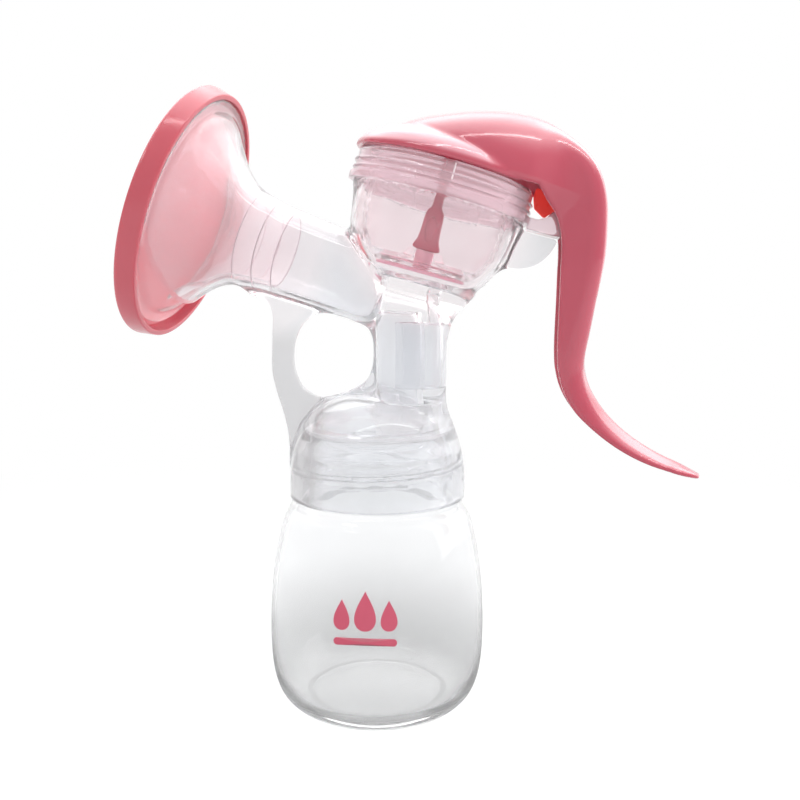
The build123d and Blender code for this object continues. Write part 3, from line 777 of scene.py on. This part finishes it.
# stations of the neck under the head: z, centre x, radius, tilt
NECK_Z, NECK_X, NECK_R, NECK_TILT = np.array([
    (80.0, 9.7, 10.1, 0.0), (102.0, 9.7, 10.1, 0.0), (107.0, 9.72, 10.25, 0.03),
    (113.3, 9.85, 11.3, 0.13), (120.07, 10.2, 13.9, 0.26), (123.2, 11.0, 15.6, 0.26),
    (126.0, 11.8, 16.4, 0.26)]).T


def neck_field(P):
    x, y, z = P.T
    station = z.copy()
    for _ in range(3):
        lean = np.tan(np.interp(station, NECK_Z, NECK_TILT))
        station = np.clip(z + (x - np.interp(station, NECK_Z, NECK_X)) * lean, 80, 126)
    off_centre = np.hypot(x - np.interp(station, NECK_Z, NECK_X), y)
    slope = np.interp(station + 0.5, NECK_Z, NECK_R) - np.interp(station - 0.5, NECK_Z, NECK_R)
    wall = (off_centre - np.interp(station, NECK_Z, NECK_R)) / np.sqrt(1 + slope ** 2)
    top = (P - HEAD) @ HEAD_AXIS + 26.0
    return np.maximum(np.maximum(wall, 82.0 - z), top)


def pump_outer(P):
    x, y, z = P.T
    body = join(cup_outer(P), neck_field(P), 2.0)
    body = join(body, collar_outer(P), 5.0)
    body = join(body, arm_outer(P), 2.5)
    web = np.maximum(web_outline(x, z), -web_window(x, z))
    body = join(body, plate(web, y, half_thickness=1.8, edge=1.3), 3.2)
    return join(body, plate(fin_outline(x, z), y, half_thickness=1.5, edge=0.7), 1.8)


def collar_ridge(P):
    """The collar's own thread, half a pitch above the bottle's."""
    theta = np.mod(np.arctan2(P[:, 1], P[:, 0]), 2 * math.pi)
    r, z = np.hypot(P[:, 0], P[:, 1]), P[:, 2]
    crest = COLLAR_BORE - THREAD_HEIGHT + 0.15
    half_width = 0.4 + 0.4 * np.clip((r - crest) / 1.35, 0, 1.3)
    nearest = np.full(r.shape, 9.0)
    for k in range(0, 3):
        turn = theta / (2 * math.pi) + k
        middle = THREAD_START + THREAD_PITCH / 2 + THREAD_PITCH * turn
        ends = np.maximum(0, turn - 1.5) * 12
        nearest = np.minimum(nearest, np.abs(z - middle) - half_width + ends)
    return np.maximum(nearest, crest - r)


def pump_field(P):
    body = cut(pump_outer(P), arm_inner(P), 0.5)
    body = cut(body, cup_inner(P), 0.5)
    body = cut(body, np.maximum(collar_inner(P), -collar_ridge(P)), 0.4)
    # the hollow neck, left solid round the drain
    hollow = np.maximum(post(P, 9.7, 8.6, 93.5, 112.5), -upright(P, DRAIN_X, SPIGOT_RADIUS))
    body = cut(body, hollow, 0.5)
    body = cut(body, post(P, DRAIN_X, 10.2, 82.0, 88.6), 0.5)  # pocket for the valve
    spigot = np.maximum(post(P, DRAIN_X, SPIGOT_RADIUS, 84.6, 91.6),
                        -upright(P, DRAIN_X, DRAIN_RADIUS))
    body = np.minimum(body, spigot)
    body = cut(body, post(P, DRAIN_X, DRAIN_RADIUS, 83.0, 116.0), 0.4)
    return cut(body, post(P, 15.2, 1.6, 108.0, 128.0), 0.4)  # narrow port up to the cup


body = moulded("pump_body_shell", pump_field, (-57.5, -36.0, 60.0), (52.5, 36.0, 176.5),
               cell=0.6, smooth_angle=50)
finish(body, "pump", BODY_CLEAR, "pump_body", shadow=False)

# ================================================================ duckbill valve
valve_outline = [
    (7.35, 88.35), (9.6, 88.4), (9.9, 88.1), (9.9, 86.5), (9.6, 86.2), (8.9, 86.0), (8.6, 85.6),
    (8.6, 83.2), (8.3, 82.6), (7.0, 81.6), (5.2, 79.0), (3.4, 76.4), (2.2, 74.5), (1.9, 74.2),
    (1.0, 74.25), (1.1, 75.2), (2.2, 76.6), (4.2, 79.6), (6.0, 82.4), (7.35, 84.4)]


def duckbill(name, outline, segments):
    """Rings about the drain, squeezed in Y to a flat bill lower down."""
    theta = np.linspace(0, 2 * math.pi, segments, endpoint=False)
    verts, faces = [], []
    for radius, height in outline:
        flat = smooth01((83.0 - height) / 8.5)
        wide = 1 + 1.3 * flat * (1 - min(1, radius / 7.0)) + 0.5 * flat
        verts += [(DRAIN_X + radius * wide * math.cos(t),
                   radius * (1 - 0.80 * flat) * math.sin(t), height) for t in theta]
    for i in range(len(outline)):
        low, high = i * segments, (i + 1) % len(outline) * segments
        for k in range(segments):
            after = (k + 1) % segments
            faces.append((low + k, high + k, high + after, low + after))
    return mesh_object(name, verts, faces, 35)


valve = duckbill("valve_duckbill", valve_outline, segments=96)
finish(valve, "pump", MILKY_SILICONE, "duckbill_valve", shadow=False)

# ================================================================ cushion with five petals
CUSHION_GAP = 0.12
# the side against the funnel, before the gap is taken off its radius
cushion_seat = [
    (30.05, -1.5), (29.15, -0.35), (26.05, 1.65), (23.25, 3.67), (20.65, 5.72), (18.35, 7.82),
    (16.4, 9.87), (14.7, 12.05), (13.43, 14.4), (12.47, 18.0), (12.1, 20.5), (11.4, 24.5)]
cushion_outer = [(32.6, -2.15), (30.2 - CUSHION_GAP, -2.15)] + spline(
    [(r - CUSHION_GAP, h) for r, h in cushion_seat] + [(11.1, 28.1)], 5)
cushion_inner = [(10.4, 28.4), (9.8, 28.2)] + spline(
    [(9.7, 27.9), (10.0, 24.3), (10.5, 20.6), (10.85, 17.8), (11.9, 13.8), (13.3, 11.1),
     (15.15, 8.75), (17.25, 6.6), (19.65, 4.4), (22.35, 2.35), (25.1, 0.3), (27.6, -1.6),
     (28.7, -2.7)], 5) + [(29.4, -3.25), (31.5, -3.2), (32.5, -3.0), (32.8, -2.6)]


def petals(r, h, theta, index):
    """Five soft swellings on the inner side."""
    if index < len(cushion_outer):
        return r, h
    around = (np.mod(theta * 5 / (2 * math.pi), 1) - 0.5) * 2
    swell = smooth01(1 - (around / 0.62) ** 2 - ((h - 3.6) / 4.6) ** 2)
    return r - 0.8 * swell, h - 0.9 * swell


cushion = lathe("massage_cushion_skin", cushion_outer + cushion_inner, ARM_FRAME, segments=180,
                warp=petals, smooth_angle=40)
finish(cushion, "pump", CUSHION_SILICONE, "massage_cushion", shadow=False)

# fine round beads about the cushion's sleeve
BEAD_RADIUS, BEAD_SIDES = 0.17, 10
for number, (height, radius) in enumerate(((17.1, 12.55), (22.7, 11.72), (28.45, 11.0))):
    turns = [2 * math.pi * k / BEAD_SIDES for k in range(BEAD_SIDES)]
    section = [(radius + BEAD_RADIUS * math.cos(t), height + BEAD_RADIUS * math.sin(t))
               for t in turns]
    bead = lathe("cushion_bead_%d" % number, section, ARM_FRAME, segments=128, smooth_angle=80)
    finish(bead, "pump", BEAD_SILICONE, "massage_cushion", shadow=False)

# ================================================================ dust cover
cover_outline = fillet(
    [(0, -6.4), (20.0, -6.35), (34.6, -6.15), (37.25, -5.1), (36.1, 0.2), (34.6, 0.22),
     (34.56, -4.2), (33.4, -5.0), (20.0, -5.0), (0, -5.0)],
    {2: 2.0, 3: 0.8, 4: 0.5, 5: 0.3, 6: 0.6, 7: 0.8})
cover = lathe("dust_cover_shell", cover_outline, ARM_FRAME, segments=192, smooth_angle=30)
finish(cover, "cover", COVER_PINK, "dust_cover")

# ================================================================ retaining ring, tab and tick
ring_outline = [
    (21.4, 4.9), (21.55, 4.75), (23.8, 4.75), (24.0, 4.55), (24.0, -2.8), (24.2, -3.0),
    (25.9, -3.0), (26.3, -2.85), (26.4, -2.5), (26.4, -1.4), (26.3, -1.05), (25.9, -0.8),
    (25.45, -0.65), (25.35, -0.3), (25.4, -0.05), (25.8, 0.1), (25.92, 0.35), (25.8, 0.6),
    (25.4, 0.75), (25.3, 1.1), (25.3, 1.7), (25.4, 2.0), (25.75, 2.15), (25.85, 2.4),
    (25.72, 2.65), (25.3, 2.8), (25.2, 3.2), (25.15, 4.9), (25.0, 5.5), (24.6, 5.85),
    (24.0, 5.9), (21.6, 5.9), (21.4, 5.75)]
KNUCKLE_RADIUS, TAB_HALF_WIDTH = 3.8, 4.6
pivot_side = float((PIVOT - HEAD) @ HEAD_SIDE)
pivot_height = float((PIVOT - HEAD) @ HEAD_AXIS)
# the tab that reaches out to the pivot, across and along the head's axis
tab_points = [
    (22.0, -0.8), (22.0, -4.1), (34.0, -4.1), (pivot_side, pivot_height - KNUCKLE_RADIUS),
    (pivot_side, pivot_height + KNUCKLE_RADIUS), (33.4, 2.7), (31.6, 2.2), (30.4, 0.2),
    (28.0, -0.9)]
tab_outline = OutlineField(fillet([head_point(*point) for point in tab_points],
                                  {5: 1.2, 6: 1.2, 7: 1.5, 8: 1.5}))


def tab_field(P):
    x, y, z = P.T
    knuckle = np.maximum(crosswise(P, PIVOT, KNUCKLE_RADIUS), np.abs(y) - TAB_HALF_WIDTH)
    tab = join(plate(tab_outline(x, z), y, TAB_HALF_WIDTH, edge=0.8), knuckle, 0.6)
    tab = cut(tab, radius_height(P, HEAD_FRAME)[0] - 26.05, 0.3)
    return cut(tab, crosswise(P, PIVOT, 1.86), 0.2)


tab = moulded("ring_tab", tab_field, (38.0, -6.0, 132.0), (60.0, 6.0, 146.0), 0.35, 45)
ring = lathe("ring_shell", ring_outline, HEAD_FRAME, segments=200, smooth_angle=35)
for piece in (ring, tab):
    finish(piece, "pump", RING_PINK, "retaining_ring", shadow=False)

# a small upright mark on the front of the ring
TICK_ANGLE = math.radians(279.5)
tick_out = math.cos(TICK_ANGLE) * HEAD_SIDE + math.sin(TICK_ANGLE) * Y_AXIS
tick_across = -math.sin(TICK_ANGLE) * HEAD_SIDE + math.cos(TICK_ANGLE) * Y_AXIS
tick_corners = [HEAD + out * tick_out + across * tick_across + height * HEAD_AXIS
                for height in (0.9, 5.2) for across in (-0.22, 0.22) for out in (25.1, 25.75)]
tick = mesh_object("ring_tick", tick_corners, [
    (0, 1, 3, 2), (4, 6, 7, 5), (0, 4, 5, 1), (2, 3, 7, 6), (0, 2, 6, 4), (1, 5, 7, 3)], 20)
bevel = tick.modifiers.new("edge", "BEVEL")
bevel.width = 0.15 * MM
bevel.segments = 3
finish(tick, "pump", TICK_PALE, "retaining_ring", shadow=False)

# ================================================================ diaphragm
diaphragm_outline = [
    (23.3, 3.15), (23.5, 3.35), (23.5, 4.4), (23.3, 4.65), (20.4, 4.65), (19.9, 4.3), (19.6, 3.2),
    (19.25, -3.9), (19.0, -7.0), (18.75, -11.2), (18.1, -14.4), (16.9, -17.6), (15.6, -19.4),
    (13.6, -20.5), (11.6, -20.9), (7.6, -21.0), (6.6, -20.7), (5.4, -18.2), (4.9, -17.5),
    (4.3, -17.4), (2.9, -17.4), (2.7, -17.6), (2.7, -22.2), (13.4, -22.2), (14.6, -21.8),
    (16.6, -20.3), (18.2, -17.9), (19.3, -14.6), (19.9, -11.2), (20.2, -7.0), (20.4, -3.9),
    (20.75, 2.4), (21.2, 3.15)]


def folds(r, h, theta, index):
    """Shallow ripples down the side wall, fading out at both ends."""
    fade = np.clip((h + 17.0) / 3.0, 0, 1) * np.clip((1.5 - h) / 3.0, 0, 1)
    return r + 0.16 * fade * np.sin(h * 2 * math.pi / 3.1), h


diaphragm = lathe("diaphragm_skin", resample(diaphragm_outline + diaphragm_outline[:1], 0.45)[:-1],
                  HEAD_FRAME, warp=folds, smooth_angle=40)
finish(diaphragm, None, DIAPHRAGM_SILICONE, "diaphragm", shadow=False)
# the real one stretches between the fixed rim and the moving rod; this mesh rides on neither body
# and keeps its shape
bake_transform(diaphragm)

# ================================================================ piston disc
disc_outline = fillet(
    [(0, -23.4), (13.0, -23.4), (13.0, -22.3), (2.6, -22.3), (2.6, -17.2), (0, -17.2)],
    {1: 0.35, 2: 0.35, 3: 0.2, 4: 0.4})
disc = lathe("piston_disc_body", disc_outline, HEAD_FRAME, segments=128)
finish(disc, "rod", DISC_PINK, "piston_disc")

# ================================================================ connecting rod
SLOT_TRAVEL = 5.135  # the pin's slide along the slot
# (side, height) in the head's frame: up the +X edge, over the head, down the other edge
stem_right = spline(
    [(2.6, -17.1), (3.85, -16.4), (3.75, -15.2), (3.0, -13.2), (2.75, -11.0), (2.6, -6.4),
     (2.3, -5.2), (1.5, -3.8), (1.3, -1.5), (1.3, 1.0), (1.8, 4.5), (3.4, 7.5)], 5)
rod_head = [
    (SLOT_TRAVEL + 2.6, 7.8), (SLOT_TRAVEL + 3.4, 8.6), (SLOT_TRAVEL + 3.4, 12.6),
    (SLOT_TRAVEL + 2.6, 13.4), (-2.6, 13.4), (-3.4, 12.6), (-3.4, 8.6)]
stem_left = spline(
    [(-2.4, 7.4), (-1.7, 4.5), (-1.3, 1.0), (-1.3, -1.5), (-1.5, -3.8), (-2.3, -5.2),
     (-2.6, -6.4), (-2.75, -11.0), (-3.0, -13.2), (-3.75, -15.2), (-3.85, -16.4),
     (-2.6, -17.1)], 5)
rod_outline = OutlineField(stem_right + rod_head + stem_left, 0.1)


def rod_field(P):
    offset = P - HEAD
    side, height, depth = offset @ HEAD_SIDE, offset @ HEAD_AXIS, np.abs(P[:, 1])
    rod = plate(rod_outline(side, height), depth, half_thickness=1.9, edge=0.75)
    along_slot = np.clip(side, -0.4, SLOT_TRAVEL + 0.4)
    rod = cut(rod, np.hypot(side - along_slot, height - PIN_HEIGHT) - 1.82, 0.2)
    # a shallow oval recess and a small dimple on both faces
    oval = np.hypot(side / 1.55, (height + 10.6) / 3.2) - 1
    rod = cut(rod, np.maximum(oval * 1.5, 1.55 - depth), 0.25)
    return cut(rod, np.maximum(np.hypot(side + 0.1, height + 7.0) - 0.38, 1.2 - depth), 0.15)


rod = moulded("connecting_rod_body", rod_field, (9.0, -3.0, 128.0), (33.0, 3.0, 165.0), 0.3, 45)
finish(rod, "rod", ROD_PINK, "connecting_rod")

# ================================================================ pins


def make_pin(name, centre, radius, half_length, edge, segments):
    """A round pin along Y."""
    outline = fillet([(0, -half_length), (radius, -half_length), (radius, half_length),
                      (0, half_length)], {1: edge, 2: edge})
    return lathe(name, outline, (centre, Y_AXIS, X_AXIS), segments)


rod_pin = make_pin("rod_pin_body", ROD_PIN, 1.5, 7.0, edge=0.3, segments=48)
finish(rod_pin, "lever", ROD_PINK, "rod_pin")
pivot_pin = make_pin("pivot_pin_body", PIVOT, 1.8, 7.05, edge=0.35, segments=64)
finish(pivot_pin, "lever", HANDLE_PINK, "pivot_pin")

# ================================================================ handle
HANDLE_WALL = 1.9
# side view (x, z): over the lid from -X and down the outside of the grip to its tip
lever_outer = spline(
    [(-9.4, 156.6), (-5.6, 162.2), (-1.1, 165.4), (7.1, 167.8), (13.1, 169.1), (18.9, 169.9),
     (25.6, 170.6), (31.2, 170.7), (36.7, 170.4), (44.1, 169.0), (48.8, 167.0), (54.7, 162.7),
     (59.4, 157.9), (62.3, 152.7), (63.9, 146.3), (64.2, 139.3), (63.9, 131.0), (62.9, 124.5),
     (61.7, 118.0), (60.4, 109.9), (59.6, 104.6), (59.4, 100.9), (60.0, 97.3), (61.4, 93.7),
     (63.7, 89.9), (67.2, 85.7), (72.7, 80.9), (80.5, 76.1), (86.5, 73.4), (92.2, 70.4)], 5)
# back up the inside of the grip to the lid's edge
lever_inner = spline(
    [(91.0, 69.2), (82.6, 71.4), (75.3, 73.9), (68.5, 77.4), (62.2, 81.9), (56.9, 86.8),
     (54.4, 90.2), (52.3, 94.6), (51.1, 99.5), (50.7, 105.1), (50.8, 111.9), (51.0, 118.7),
     (51.1, 126.0), (51.2, 133.0), (50.9, 137.2), (49.4, 141.9), (46.8, 145.4),
     head_point(25.6, 6.9)], 5)
lid_bottom = [head_point(22.0, 6.5), head_point(0.0, 6.2), head_point(-27.0, 6.2)]
lever_side = OutlineField(lever_outer + lever_inner + lid_bottom)
# everything within the outer curve, without the inner side
lever_back = OutlineField(lever_outer + [(95.0, 40.0), (20.0, 40.0), (-20.0, 130.0)], 0.25, 20.0)
dome_outer = TurnedField([(0, 6.05), (26.1, 6.05), (26.4, 6.35)] + spline(
    [(26.3, 7.4), (24.8, 9.6), (21.6, 11.9), (16.6, 13.9), (10.0, 15.2), (0, 15.8)], 6), HEAD_FRAME)
dome_inner = TurnedField([(0, 4.0), (24.7, 4.0)] + spline(
    [(24.7, 6.3), (24.3, 7.4), (22.7, 9.1), (20.2, 10.5), (15.8, 12.2), (9.6, 13.4),
     (0, 14.0)], 6), HEAD_FRAME)
ring_clearance = TurnedField([(0, 6.04), (27.2, 6.04), (27.2, -8.0), (0, -8.0)], HEAD_FRAME)

# stations of the hood over the lid: place along the lever, half width, height of its foot
HOOD_PLACE, HOOD_WIDTH, HOOD_FOOT = np.array(spline([
    (-40.0, 0.5, 15.0), (-24.0, 0.5, 14.6), (-20.0, 0.6, 14.2), (-17.0, 3.8, 13.4),
    (-14.5, 8.5, 12.4), (-12.0, 13.0, 11.2), (-8.0, 17.8, 9.8), (-4.0, 20.7, 8.5),
    (0.0, 22.4, 7.5), (4.0, 23.2, 6.7), (8.0, 23.2, 6.1), (11.0, 22.6, 5.7), (14.0, 21.6, 5.4),
    (17.0, 20.3, 5.0), (20.0, 18.8, 4.6), (23.0, 17.2, 4.2), (26.0, 15.6, 4.0),
    (30.0, 13.6, 3.6), (34.0, 12.0, 3.2), (38.0, 10.6, 3.0), (44.0, 9.2, 3.0),
    (60.0, 8.0, 3.0)])).T
# the outer curve in the head's frame, as far as it keeps going outwards
from_head = np.array([(x, 0.0, z) for x, z in lever_outer]) - HEAD
CREST_SIDE, CREST_HEIGHT = from_head @ HEAD_SIDE, from_head @ HEAD_AXIS
crest_end = int(np.argmax(CREST_SIDE))
CREST_SIDE, CREST_HEIGHT = CREST_SIDE[:crest_end], CREST_HEIGHT[:crest_end]


def along_lever(side, height):
    """Distance along the lever: across the lid at first, then down past the pivot."""
    return side + np.maximum(8.0 - height, 0) * 0.6 * smooth01((side - 10.0) / 26.0)


def hood_level(P):
    """Zero on the hood: a gently sloping top, a soft shoulder and a steep side."""
    offset = P - HEAD
    side, height = offset @ HEAD_SIDE, offset @ HEAD_AXIS
    width = np.interp(along_lever(side, height), HOOD_PLACE, HOOD_WIDTH)
    foot = np.interp(side, HOOD_PLACE, HOOD_FOOT)
    rise = np.maximum(np.interp(side, CREST_SIDE, CREST_HEIGHT) - foot, 1.0)
    across = (np.abs(P[:, 1]) / width) ** 1.85
    return (across + (np.maximum(height - foot, 0) / (0.985 * rise)) ** 2.0) ** 0.5 - 1.0


def hood_field(P):
    """A broad arch over the lid that narrows into the grip. Distance by first order."""
    offset = P - HEAD
    side, height = offset @ HEAD_SIDE, offset @ HEAD_AXIS
    distance = np.full(len(P), 6.0)
    near = (side > -24) & (side < 48) & (height > -24.0) & (height < 26)
    if near.any():
        N = P[near]
        slope2 = sum(((hood_level(N + d) - hood_level(N - d)) / 0.5) ** 2
                     for d in np.eye(3) * 0.25)
        distance[near] = np.clip(hood_level(N) / np.sqrt(np.maximum(slope2, 6e-4)), -9, 9)
    return distance


def grip_half_width(P):
    """It grows out of the lid, stays even and ends in a round tip."""
    half = 0.5 + 7.5 * smooth01(((P - HEAD) @ HEAD_SIDE + 21.0) / 13.0)
    x = P[:, 0]
    tip = np.sqrt(np.clip(1 - ((x - 83.0) / 9.6) ** 2, 0.0, 1))
    return np.where((x > 83.0) & (P[:, 2] < 100), np.maximum(8.2 * tip, 0.2), half)


def grip_field(P, inset):
    """The grip without its inner side, shrunk by inset."""
    x, y, z = P.T
    half = grip_half_width(P) - inset
    # towards the tip the back turns from a flat strap into a low roof
    low = smooth01((116.0 - z) / 38.0) * (x > 45.0)
    edge = np.maximum(np.minimum(5.6 - 2.6 * low - inset, half), 0.5)
    roof = low * 1.15 * np.interp(x, [58.0, 70.0, 82.0, 91.0], [0.60, 0.44, 0.30, 0.10])
    back = (lever_back(x, z) + inset + roof * np.abs(y)) / np.sqrt(1 + roof ** 2)
    return plate(back, y, half, edge)


def handle_field(P):
    x, y, z = P.T
    offset = P - HEAD
    side, height = offset @ HEAD_SIDE, offset @ HEAD_AXIS
    hood = hood_field(P)
    t = smooth01((along_lever(side, height) - 22.0) / 20.0)  # 0 on the hood, 1 on the grip
    grip = hood * (1 - t) + grip_field(P, 0.0) * t
    grip = -join(-grip, -lever_side(x, z), 1.4)
    grip = cut(grip, side + 16.5, 2.0)
    # over the lid the hood stops at the lid's own edge
    grip = np.where(side < 14.0, np.maximum(grip, np.hypot(side, y) - 26.3), grip)
    shell = join(grip, dome_outer(P), 0.5)
    channel = (hood + HANDLE_WALL) * (1 - t) + grip_field(P, HANDLE_WALL) * t
    # the channel closes before the thin tip
    channel = np.maximum(channel, x - 84.0)
    channel = cut(channel, side + 12.0, 1.0)
    shell = cut(shell, join(channel, dome_inner(P), 0.6), 0.5)
    # lugs for the rod's pin, then bosses for the pivot pin, each drilled along Y
    lug = np.maximum(np.abs(side) - 3.6, np.abs(height - 12.0) - 4.4)
    shell = np.minimum(shell, np.maximum(lug, np.abs(np.abs(y) - 5.7) - 1.3))
    drilled = np.abs(y) - 7.1
    shell = cut(shell, np.maximum(crosswise(P, ROD_PIN, 1.52), drilled), 0.1)
    boss = np.maximum(crosswise(P, PIVOT, 3.6), np.abs(np.abs(y) - 6.6) - 1.2)
    shell = join(shell, boss, 0.6)
    shell = cut(shell, np.maximum(crosswise(P, PIVOT, 1.82), drilled), 0.1)
    return np.maximum(shell, -ring_clearance(P))


handle = moulded("handle_shell", handle_field, (-11.0, -27.5, 67.0), (94.5, 27.5, 172.5),
                 cell=0.55, smooth_angle=50)
finish(handle, "lever", HANDLE_PINK, "handle")

# small rib inside the handle, on its +Y side between the lid and the pivot; its red colour and glow
# are painted reflection, standing in for light bounced round the handle's pink channel
RIB_Y = 5.6
rib_outline = OutlineField(fillet(
    [(44.6, 150.6), (49.6, 148.6), (50.6, 144.6), (46.9, 141.9), (44.1, 144.7), (43.8, 147.8)],
    {0: 0.6, 1: 0.8, 2: 0.8, 3: 0.8, 4: 0.8, 5: 0.6}), 0.1)


def rib_field(P):
    return plate(rib_outline(P[:, 0], P[:, 2]), P[:, 1] - RIB_Y, half_thickness=0.75, edge=0.3)


rib = moulded("handle_inner_rib", rib_field, (43.0, 4.2, 140.0), (52.0, 7.0, 152.0), 0.25, 45)
finish(rib, "lever", RIB_REFLECTION_RED, "handle")

# ================================================================ floor (metres from here on)
FLOOR_SEGMENTS = 96
FLOOR_RADII = [0.05, 0.12, 0.25, 0.5, 1.0, 2.2]
floor_mesh = bpy.data.meshes.new("floor")
floor_verts, floor_faces = [(0, 0, 0)], []
for ring_number, radius in enumerate(FLOOR_RADII):
    start = len(floor_verts)
    for k in range(FLOOR_SEGMENTS):
        angle = 2 * math.pi * k / FLOOR_SEGMENTS
        floor_verts.append((radius * math.cos(angle), radius * math.sin(angle), 0))
        here, after = start + k, start + (k + 1) % FLOOR_SEGMENTS
        if ring_number == 0:
            floor_faces.append((0, here, after))
        else:
            floor_faces.append((here - FLOOR_SEGMENTS, here, after, after - FLOOR_SEGMENTS))
floor_mesh.from_pydata(floor_verts, [], floor_faces)
floor = bpy.data.objects.new("floor", floor_mesh)
scene.collection.objects.link(floor)


def floor_material(name):
    """Seen directly it takes shadows near the middle; to other rays it is a plain glow."""
    material = bpy.data.materials.new(name)
    shader = Shader(material)
    to_camera = shader.node("LightPath").outputs["Is Camera Ray"]
    from_middle = shader.vector("LENGTH", shader.position)
    matte = shader.node("BsdfDiffuse", {"Color": (0.92, 0.92, 0.925, 1)})
    white = shader.node("Emission", {
        "Color": (1, 1, 1, 1),
        "Strength": shader.step(to_camera, 0.0, 1.0, 0.56, 1.0, "LINEAR")})
    seen = shader.node("MixShader", {
        0: shader.step(from_middle, 0.06, 0.42, 0.6, 1.0),
        1: matte.outputs[0], 2: white.outputs[0]})
    glow = shader.node("Emission", {
        "Color": (0.99, 0.995, 1, 1),
        "Strength": shader.step(from_middle, 0.02, 0.17, 0.44, 1.0)})
    surface = shader.node("MixShader", {0: to_camera, 1: glow.outputs[0], 2: seen.outputs[0]})
    shader.node("OutputMaterial", {"Surface": surface.outputs[0]})
    return material


floor_mesh.materials.append(floor_material("pale_floor"))

# ================================================================ world
world = bpy.data.worlds.new("studio")
scene.world = world


def studio_light(shader):
    """White to the camera; brighter high up behind the object, dimmer in front and at +X."""
    rays = shader.node("LightPath").outputs
    axes = shader.node("SeparateXYZ", {0: shader.position}).outputs
    x, y, z = axes["X"], axes["Y"], axes["Z"]
    step, calc = shader.step, shader.math
    back = step(y, -0.35, 0.55, 0.60, 0.98)
    side = step(calc("MAXIMUM", x, 0.0), 0.55, 0.95, 1.0, 0.72)
    top = step(z, 0.3, 0.85, 0.0, 0.15)
    high_back = calc("MULTIPLY", step(y, 0.15, 0.6), step(z, 0.22, 0.42, 0.0, 0.45))
    level = calc("ADD", calc("ADD", calc("MULTIPLY", back, side), top), high_back)
    # soft-edged panels seen only as reflections: overhead, back at +X, and high back at +X
    overhead = calc("MULTIPLY", step(y, -0.42, 0.05), step(y, 0.60, 0.90, 1.0, 0.0))
    overhead = calc("MULTIPLY", overhead, step(z, 0.40, 0.75, 0.0, 2.0))
    corner = calc("MULTIPLY", step(x, 0.35, 0.65), step(y, 0.25, 0.50, 0.0, 0.9))
    high_corner = calc("MULTIPLY", step(x, 0.25, 0.50), step(y, 0.25, 0.50))
    high_corner = calc("MULTIPLY", high_corner, step(z, 0.28, 0.48, 0.0, 1.7))
    panels = calc("ADD", calc("ADD", overhead, corner), high_corner)
    level = calc("ADD", level, calc("MULTIPLY", panels, rays["Is Glossy Ray"]))
    strength = shader.mix_float(rays["Is Camera Ray"], level, 1.0)
    background = shader.node("Background", {"Color": (1.0, 1.0, 1.0, 1), "Strength": strength})
    shader.node("OutputWorld", {"Surface": background.outputs[0]})


studio_light(Shader(world, "Generated"))


# ================================================================ lights
def area_light(name, location, target, size, power, hidden_from=()):
    """A rectangular lamp aimed at target; hidden_from lists the ray kinds that miss it."""
    lamp = bpy.data.lights.new(name, "AREA")
    lamp.shape = "RECTANGLE"
    lamp.size, lamp.size_y = size
    lamp.energy = power
    holder = bpy.data.objects.new(name, lamp)
    scene.collection.objects.link(holder)
    holder.location = location
    aim = Vector(target) - Vector(location)
    holder.rotation_euler = aim.to_track_quat("-Z", "Y").to_euler()
    for kind in hidden_from:
        setattr(holder, "visible_" + kind, False)


area_light("overhead", (0.02, -0.03, 0.80), (0.02, 0, 0.14), size=(0.26, 0.22), power=1.1,
           hidden_from=["glossy"])
area_light("key_softbox", (-0.30, -0.45, 0.60), (0.02, 0, 0.14), size=(0.22, 0.08), power=0.6)
area_light("rim_right", (0.55, 0.12, 0.30), (0.05, 0, 0.13), size=(0.40, 0.5), power=2.4,
           hidden_from=["glossy"])
# a long narrow lamp that only draws the bright lines on the glossy shapes
area_light("strip", (0.16, -0.14, 0.66), (0.10, 0, 0.14), size=(0.90, 0.030), power=0.85,
           hidden_from=["diffuse", "transmission"])

# ================================================================ camera
CAMERA_AZIMUTH = 0.14  # radians, round from -Y towards +X
CAMERA_DISTANCE, CAMERA_HEIGHT = 247.066, 116.065  # mm
CAMERA_PAN, CAMERA_PITCH, CAMERA_ROLL = -0.026, 0.107, 0.006  # radians; pitch is downwards

camera_data = bpy.data.cameras.new("camera")
camera_data.sensor_width = 36.0
camera_data.lens = 38.21607
camera_data.clip_start = 0.01
camera = bpy.data.objects.new("camera", camera_data)
scene.collection.objects.link(camera)
scene.camera = camera
place = MM * np.array([CAMERA_DISTANCE * math.sin(CAMERA_AZIMUTH),
                       -CAMERA_DISTANCE * math.cos(CAMERA_AZIMUTH), CAMERA_HEIGHT])
heading = CAMERA_AZIMUTH + CAMERA_PAN
forward = np.array([-math.sin(heading) * math.cos(CAMERA_PITCH),
                    math.cos(heading) * math.cos(CAMERA_PITCH), -math.sin(CAMERA_PITCH)])
level_right = np.cross(forward, Z_AXIS)
level_right /= np.linalg.norm(level_right)
level_up = np.cross(level_right, forward)
right = level_right * math.cos(CAMERA_ROLL) + level_up * math.sin(CAMERA_ROLL)
up = -level_right * math.sin(CAMERA_ROLL) + level_up * math.cos(CAMERA_ROLL)
camera.matrix_world = Matrix(
    [*np.stack([right, up, -forward, place], 1).tolist(), (0, 0, 0, 1)])

# ================================================================ render settings
scene.view_settings.view_transform = "Standard"
scene.cycles.max_bounces = 24
scene.cycles.transmission_bounces = 24
scene.cycles.transparent_max_bounces = 24
scene.cycles.glossy_bounces = 8
scene.cycles.diffuse_bounces = 4
scene.cycles.caustics_reflective = False
scene.cycles.caustics_refractive = True
scene.cycles.sample_clamp_indirect = 6.0
scene.cycles.use_denoising = True
